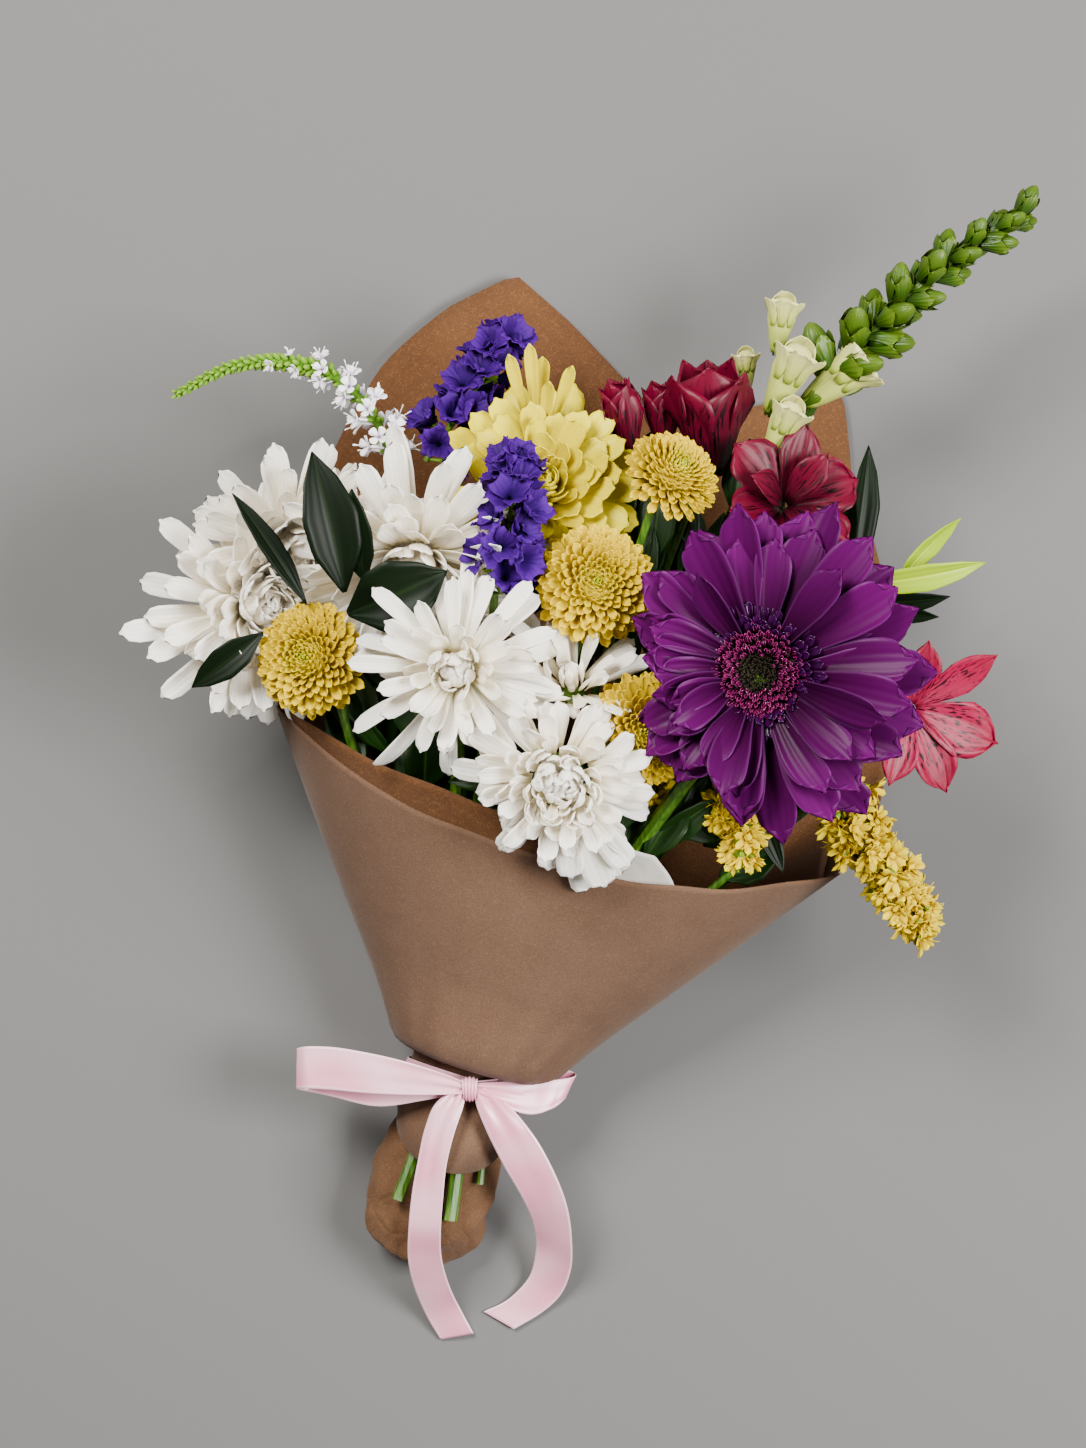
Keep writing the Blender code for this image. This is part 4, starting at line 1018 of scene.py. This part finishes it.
VERONICA_PATH = [(-28, 244, 62), (-37, 264, 65), (-53, 279, 67), (-71, 284, 68), (-90, 283, 66), (-114, 272, 64)]
tip_skin = petal_material("green_veronica_bud", "#3E6A0C", "#5E9018", "#90B038", "#3C6410", roughness=0.45, veins=0.2)
floret_skin = petal_material("white_veronica_petal", "#D8CCE6", "#FFFCFF", "#FFFEFF", "#E2D8EC", veins=0.2)
greens, whites = [tube(VERONICA_PATH, [1.9, 1.7, 1.4, 1.1, 0.6], rows=40)], []
bud_count, closed_from = 190, 0.40
for i in range(bud_count):
    share = (i + 0.5) / bud_count
    place, ahead = along_path(VERONICA_PATH, share)
    out = around_axis(ahead, i * GOLDEN_ANGLE, 66 - 26 * share)
    if share > closed_from:  # green buds to the tip, ever smaller
        size = 0.85 - 0.42 * (share - closed_from) / 0.6
        greens.append(placed(lathe(BUD, 7), place + out * 0.7, out, size))
    elif i % 2:
        greens.append(placed(lathe(BUD, 7), place + out * 0.7, out, 0.62))
    if (share < 0.46 and i % 3 == 0) or (share < 0.62 and i % 6 == 0):
        reach = 7.5 * (1 - share) * turns.uniform(0.75, 1.2)
        base = place + out * (1.0 + reach)
        whites.append(tube([place, base], [0.35, 0.5], 5, 3))
        size = turns.uniform(0.8, 1.2) * (1.15 - 0.8 * share)
        whites.append(placed(petal_set(np.arange(4) * 1.571 + i, 0.3, 0, 4.4, 3.4, 50, -40, (0.5, 0.2), LOBE, rows=5,
                                       columns=4, seed=i), base, out, size))
        whites.append(placed(petal_set(np.array([0.4, 3.5]) + i, 0.3, 0.5, 5.6, 0.5, 70, -10, (1, 1),
                                       [(0, 0.8), (0.8, 0.8), (0.9, 1.8), (1, 0.8)], rows=5, columns=3, seed=i),
                             base, out, size))
grow("veronica_spike", ("veronica",), greens, tip_skin, 0.0)
grow("veronica_florets", (), whites, floret_skin, 0.2)

pollen = petal_material("golden_goldenrod_floret", "#B89C00", "#D8BC00", "#E0CC00", "#E0B800", roughness=0.55,
                        veins=0.2, shine=0.12)


def goldenrod(path, branches, reach, seed):
    """Short side twigs along an arching stalk, each crowded with tiny many-rayed florets."""
    turns = np.random.default_rng(seed)
    golds, greens = [], [tube(path, [1.2, 0.9, 0.5])]
    for i in range(branches):
        share = (i + 0.5) / branches
        place, ahead = along_path(path, share)
        out = unit(around_axis(ahead, i * GOLDEN_ANGLE, 48) + [0, 0, 0.3])
        end = place + out * reach * (1 - 0.55 * share) * turns.uniform(0.7, 1.1)
        greens.append(tube([place, (place + end) / 2 + [0, 0, 0.6], end], [0.6, 0.5, 0.3], 5, 5))
        for j in range(5):
            spot = place + (end - place) * (0.35 + 0.65 * (j + 1) / 5) + turns.normal(0, 1.6, 3)
            facing = unit(out + turns.normal(0, 0.5, 3) + [0, 0, 0.2])
            size = turns.uniform(1.4, 2.1)
            rays = petal_set(np.arange(7) * 0.9 + turns.uniform(0, 6), 0.25, 0, 4.0, 1.7, 52 + turns.normal(0, 10, 7),
                             -22, (0.5, 0.3), TEPAL, rows=4, columns=3, seed=seed + j)
            golds.append(placed(rays, spot, facing, size))
            golds.append(placed(lathe([(0.1, -0.3), (0.7, 0), (0.8, 1.2), (0.1, 1.9)], 6), spot, facing, size))
            greens.append(placed(lathe([(0.1, -2.2), (0.6, -1.5), (0.8, 0.2), (0.1, 0.4)], 6), spot, facing, size))
    return golds, greens


SPRAYS = [  # the stalk's path, its side twigs, how far they reach and a seed; the first spray is the right one
    ([(141, 118, 90), (156, 96, 88), (177, 66, 82)], 34, 14.0, 101),
    ([(110, 122, 88), (108, 106, 92), (107, 92, 94)], 9, 8.0, 102),
    ([(104, 116, 86), (97, 106, 88)], 4, 8.0, 103), ([(70, 118, 84), (74, 108, 86)], 3, 6.0, 104)]
golds, greens = zip(*[goldenrod(*spray) for spray in SPRAYS])
grow("goldenrod_right_florets", ("goldenrod_right",), golds[0], pollen, 0.15)
grow("goldenrod_left_florets", ("goldenrod_left",), sum(golds[1:], []), pollen, 0.15)
grow("goldenrod_twigs", (), sum(greens, []), twig_skin, 0.0)

# -------------------------------------------------------------------------------- leaves and stems
# Dark glossy ruscus blades stand between the mums and at the right edge of the wrapper, young
# yellow-green alstroemeria leaves reach past it and a few mum leaves hang at its mouth.

LEAF_FOLD = 0.35  # how far the halves rise from the midrib, for each millimetre across


def blade(base, tip, width, over, sag, wave=0.0, seed=0):
    """A leaf from base to tip, creased along its midrib; over is the way its upper face looks."""
    rows, columns = 22, 9
    base, tip, over = np.array(base, float), np.array(tip, float), unit(over)
    ahead = tip - base
    beside = unit(np.cross(ahead, over))
    face = unit(np.cross(beside, ahead))
    t, s = np.linspace(0, 1, rows)[:, None, None], np.linspace(-1, 1, columns)[None, :, None]
    half = width / 2 * np.interp(t, [0, 0.08, 0.3, 0.55, 0.8, 0.94, 1],
                                 [0.08, 0.3, 0.9, 1.0, 0.62, 0.2, 0.02])
    points = (base + ahead * t + beside * half * s
              + face * (half * np.abs(s) * LEAF_FOLD - 4 * sag * t * (1 - t) + wave * np.sin(t * 7 + seed) * np.abs(s)))
    marks = {"along": np.broadcast_to(t, (rows, columns, 1)).ravel(),
             "across": np.broadcast_to(s, (rows, columns, 1)).ravel(),
             "tone": np.full(rows * columns, (seed * 0.37) % 1.0), "share": np.full(rows * columns, 0.5)}
    return points.reshape(-1, 3), grid_faces(rows, columns), marks


def leaf_material(name, blade_colour, rib_colour, shade, roughness, shine=0.22):
    """A waxy leaf: fine veins run lengthways, the midrib is paler and the blade is shaded unevenly."""
    leaf = petal_material(name, blade_colour, blade_colour, blade_colour, shade, roughness=roughness, veins=0.3,
                          shine=shine)
    paint_across(leaf, 0.08, 0.02, 1.0, rib_colour)
    return leaf


dark_green = leaf_material("dark_ruscus_leaf", "#071405", "#0F1E08", "#050D03", 0.42, 0.12)
light_green = leaf_material("young_alstroemeria_leaf", "#8CA800", "#A8BC28", "#6C8410", 0.42)
mum_green = leaf_material("green_mum_leaf", "#143008", "#2C4C18", "#0A1E04", 0.42)
LEAF_KINDS = {  # material, slot, thickness and how wavy its edges are
    "ruscus": (dark_green, "dark_leaf", 0.4, 0.0), "alstroemeria": (light_green, "light_leaf", 0.35, 0.4),
    "mum": (mum_green, "dark_leaf", 0.4, 0.8)}
for node, base, tip, width, over, sag in (
        ("ruscus_leaf_tall", (-45, 192, 122), (-57, 245, 129), 22, (0.25, -0.1, 0.95), -3),
        ("ruscus_leaf_short", (-37, 196, 122), (-42, 231, 128), 15, (-0.3, -0.2, 0.9), -2),
        ("ruscus_leaf_cross", (-44, 184, 120), (-6, 200, 124), 28, (0.0, -0.2, 0.97), -4),
        ("ruscus_leaf_thin", (-60, 188, 114), (-88, 230, 118), 9, (0.3, 0.2, 0.9), -2),
        ("ruscus_leaf_low", (-77, 177, 106), (-105, 156, 100), 13, (-0.2, -0.3, 0.9), -2),
        ("ruscus_leaf_right", (152, 200, 62), (159, 252, 60), 13, (0.35, 0.0, 0.94), -2),
        ("ruscus_leaf_far_right", (147, 196, 66), (151, 240, 66), 14, (-0.3, 0.1, 0.94), -2),
        ("alstroemeria_leaf_wide", (152, 196, 82), (203, 205, 82), 11, (0.0, -0.3, 0.95), -5),
        ("alstroemeria_leaf_thin", (168, 196, 80), (193, 222, 84), 8, (0.3, -0.3, 0.9), 3),
        ("mum_leaf_front", (30, 128, 106), (-6, 120, 108), 14, (0.0, -0.3, 0.95), -3),
        ("mum_leaf_mouth", (95, 122, 84), (86, 98, 88), 14, (0.2, 0.0, 0.95), -1)):
    skin, slot, thickness, wave = LEAF_KINDS[node.split("_")[0]]
    grow(f"{node}_blade", (node,), [blade(base, tip, width, over, sag, wave, len(node))], skin, thickness)
grow("small_dark_leaves", (), [blade((112, 112, 84), (124, 84, 84), 9, (0.2, 0, 0.95), 0, seed=4),
                               blade((152, 190, 66), (190, 192, 72), 10, (0.1, -0.5, 0.85), -2, seed=5),
                               blade((156, 186, 66), (186, 184, 68), 8, (0.1, -0.4, 0.85), 1, seed=6)],
     dark_green, 0.4)
grow("small_mum_leaves", (), [blade((2, 146, 104), (24, 132, 112), 16, (0.1, -0.2, 0.95), -3, seed=8),
                              blade((80, 110, 82), (98, 96, 84), 12, (0.0, -0.2, 0.95), -2, seed=9)],
     mum_green, 0.4)

# Leaves on the stems fill the mouth of the wrapper between the heads, dark where little light reaches: partly real
# foliage and partly a dark stand-in for the shade between the heads.
turns = np.random.default_rng(120)
inside = []
for i in range(110):
    share, across = turns.uniform(0, 1) ** 1.4, turns.uniform(-0.84, 0.78)
    length = 104 + 84 * share * (1 - 0.3 * abs(across))
    spread = SPREAD * (length - APEX) - 12
    base = AXIS * length + SIDE * across * spread + UP * (turns.uniform(40, 74) + 18 * (1 - share))
    ahead = unit(AXIS * 1.0 + SIDE * (across * 0.8 + turns.normal(0, 0.45)) + UP * turns.uniform(-0.2, 0.5))
    over = UP + turns.normal(0, 0.35, 3)
    inside.append(blade(base, base + ahead * turns.uniform(24, 40), turns.uniform(11, 19), over,
                        turns.uniform(-5, 3), wave=1.0, seed=i))
# More of them stand behind the yellow heads and hide the paper there, as a dark stand-in for the shade behind them.
for i in range(30):
    base = np.array([turns.uniform(30, 122), turns.uniform(186, 228), turns.uniform(34, 66)])
    ahead = unit([turns.uniform(-0.5, 0.6), 1.0, turns.uniform(-0.1, 0.3)])
    inside.append(blade(base, base + ahead * turns.uniform(26, 42), turns.uniform(12, 19), UP + turns.normal(0, 0.3, 3),
                        turns.uniform(-5, 3), wave=1.0, seed=i))
grow("inner_foliage_shade_fill", (), inside, mum_green, 0.4)

# Green stems: fine ribs run along them, the skin is paler in streaks and a little glossy.
stem_skin = new_material("green_stem_skin", Roughness=0.42, Specular_IOR_Level=0.45)
place = add_node(stem_skin, "TexCoord").outputs["Object"]
# Stretched fourteen times along the bouquet, so that the streaks are 1.4 mm wide and 20 mm long.
stretched = add_node(stem_skin, "VectorMath", {0: place, 1: (1.0, 0.07, 1.0)}, operation="MULTIPLY")
fibre = add_node(stem_skin, "TexNoise", {"Vector": stretched, "Scale": 700.0, "Detail": 3.0})
to_shader(stem_skin, Base_Color=add_node(stem_skin, "ValToRGB", {"Fac": fibre},
                                         stops=((0.3, "#234806"), (0.75, "#56801A"))),
          Normal=add_node(stem_skin, "Bump", {"Height": fibre, "Strength": 0.4, "Distance": 0.0003}))
for node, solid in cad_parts.items():
    if node.endswith("_stem"):
        solid.data.materials.clear()
        solid.data.materials.append(stem_skin)
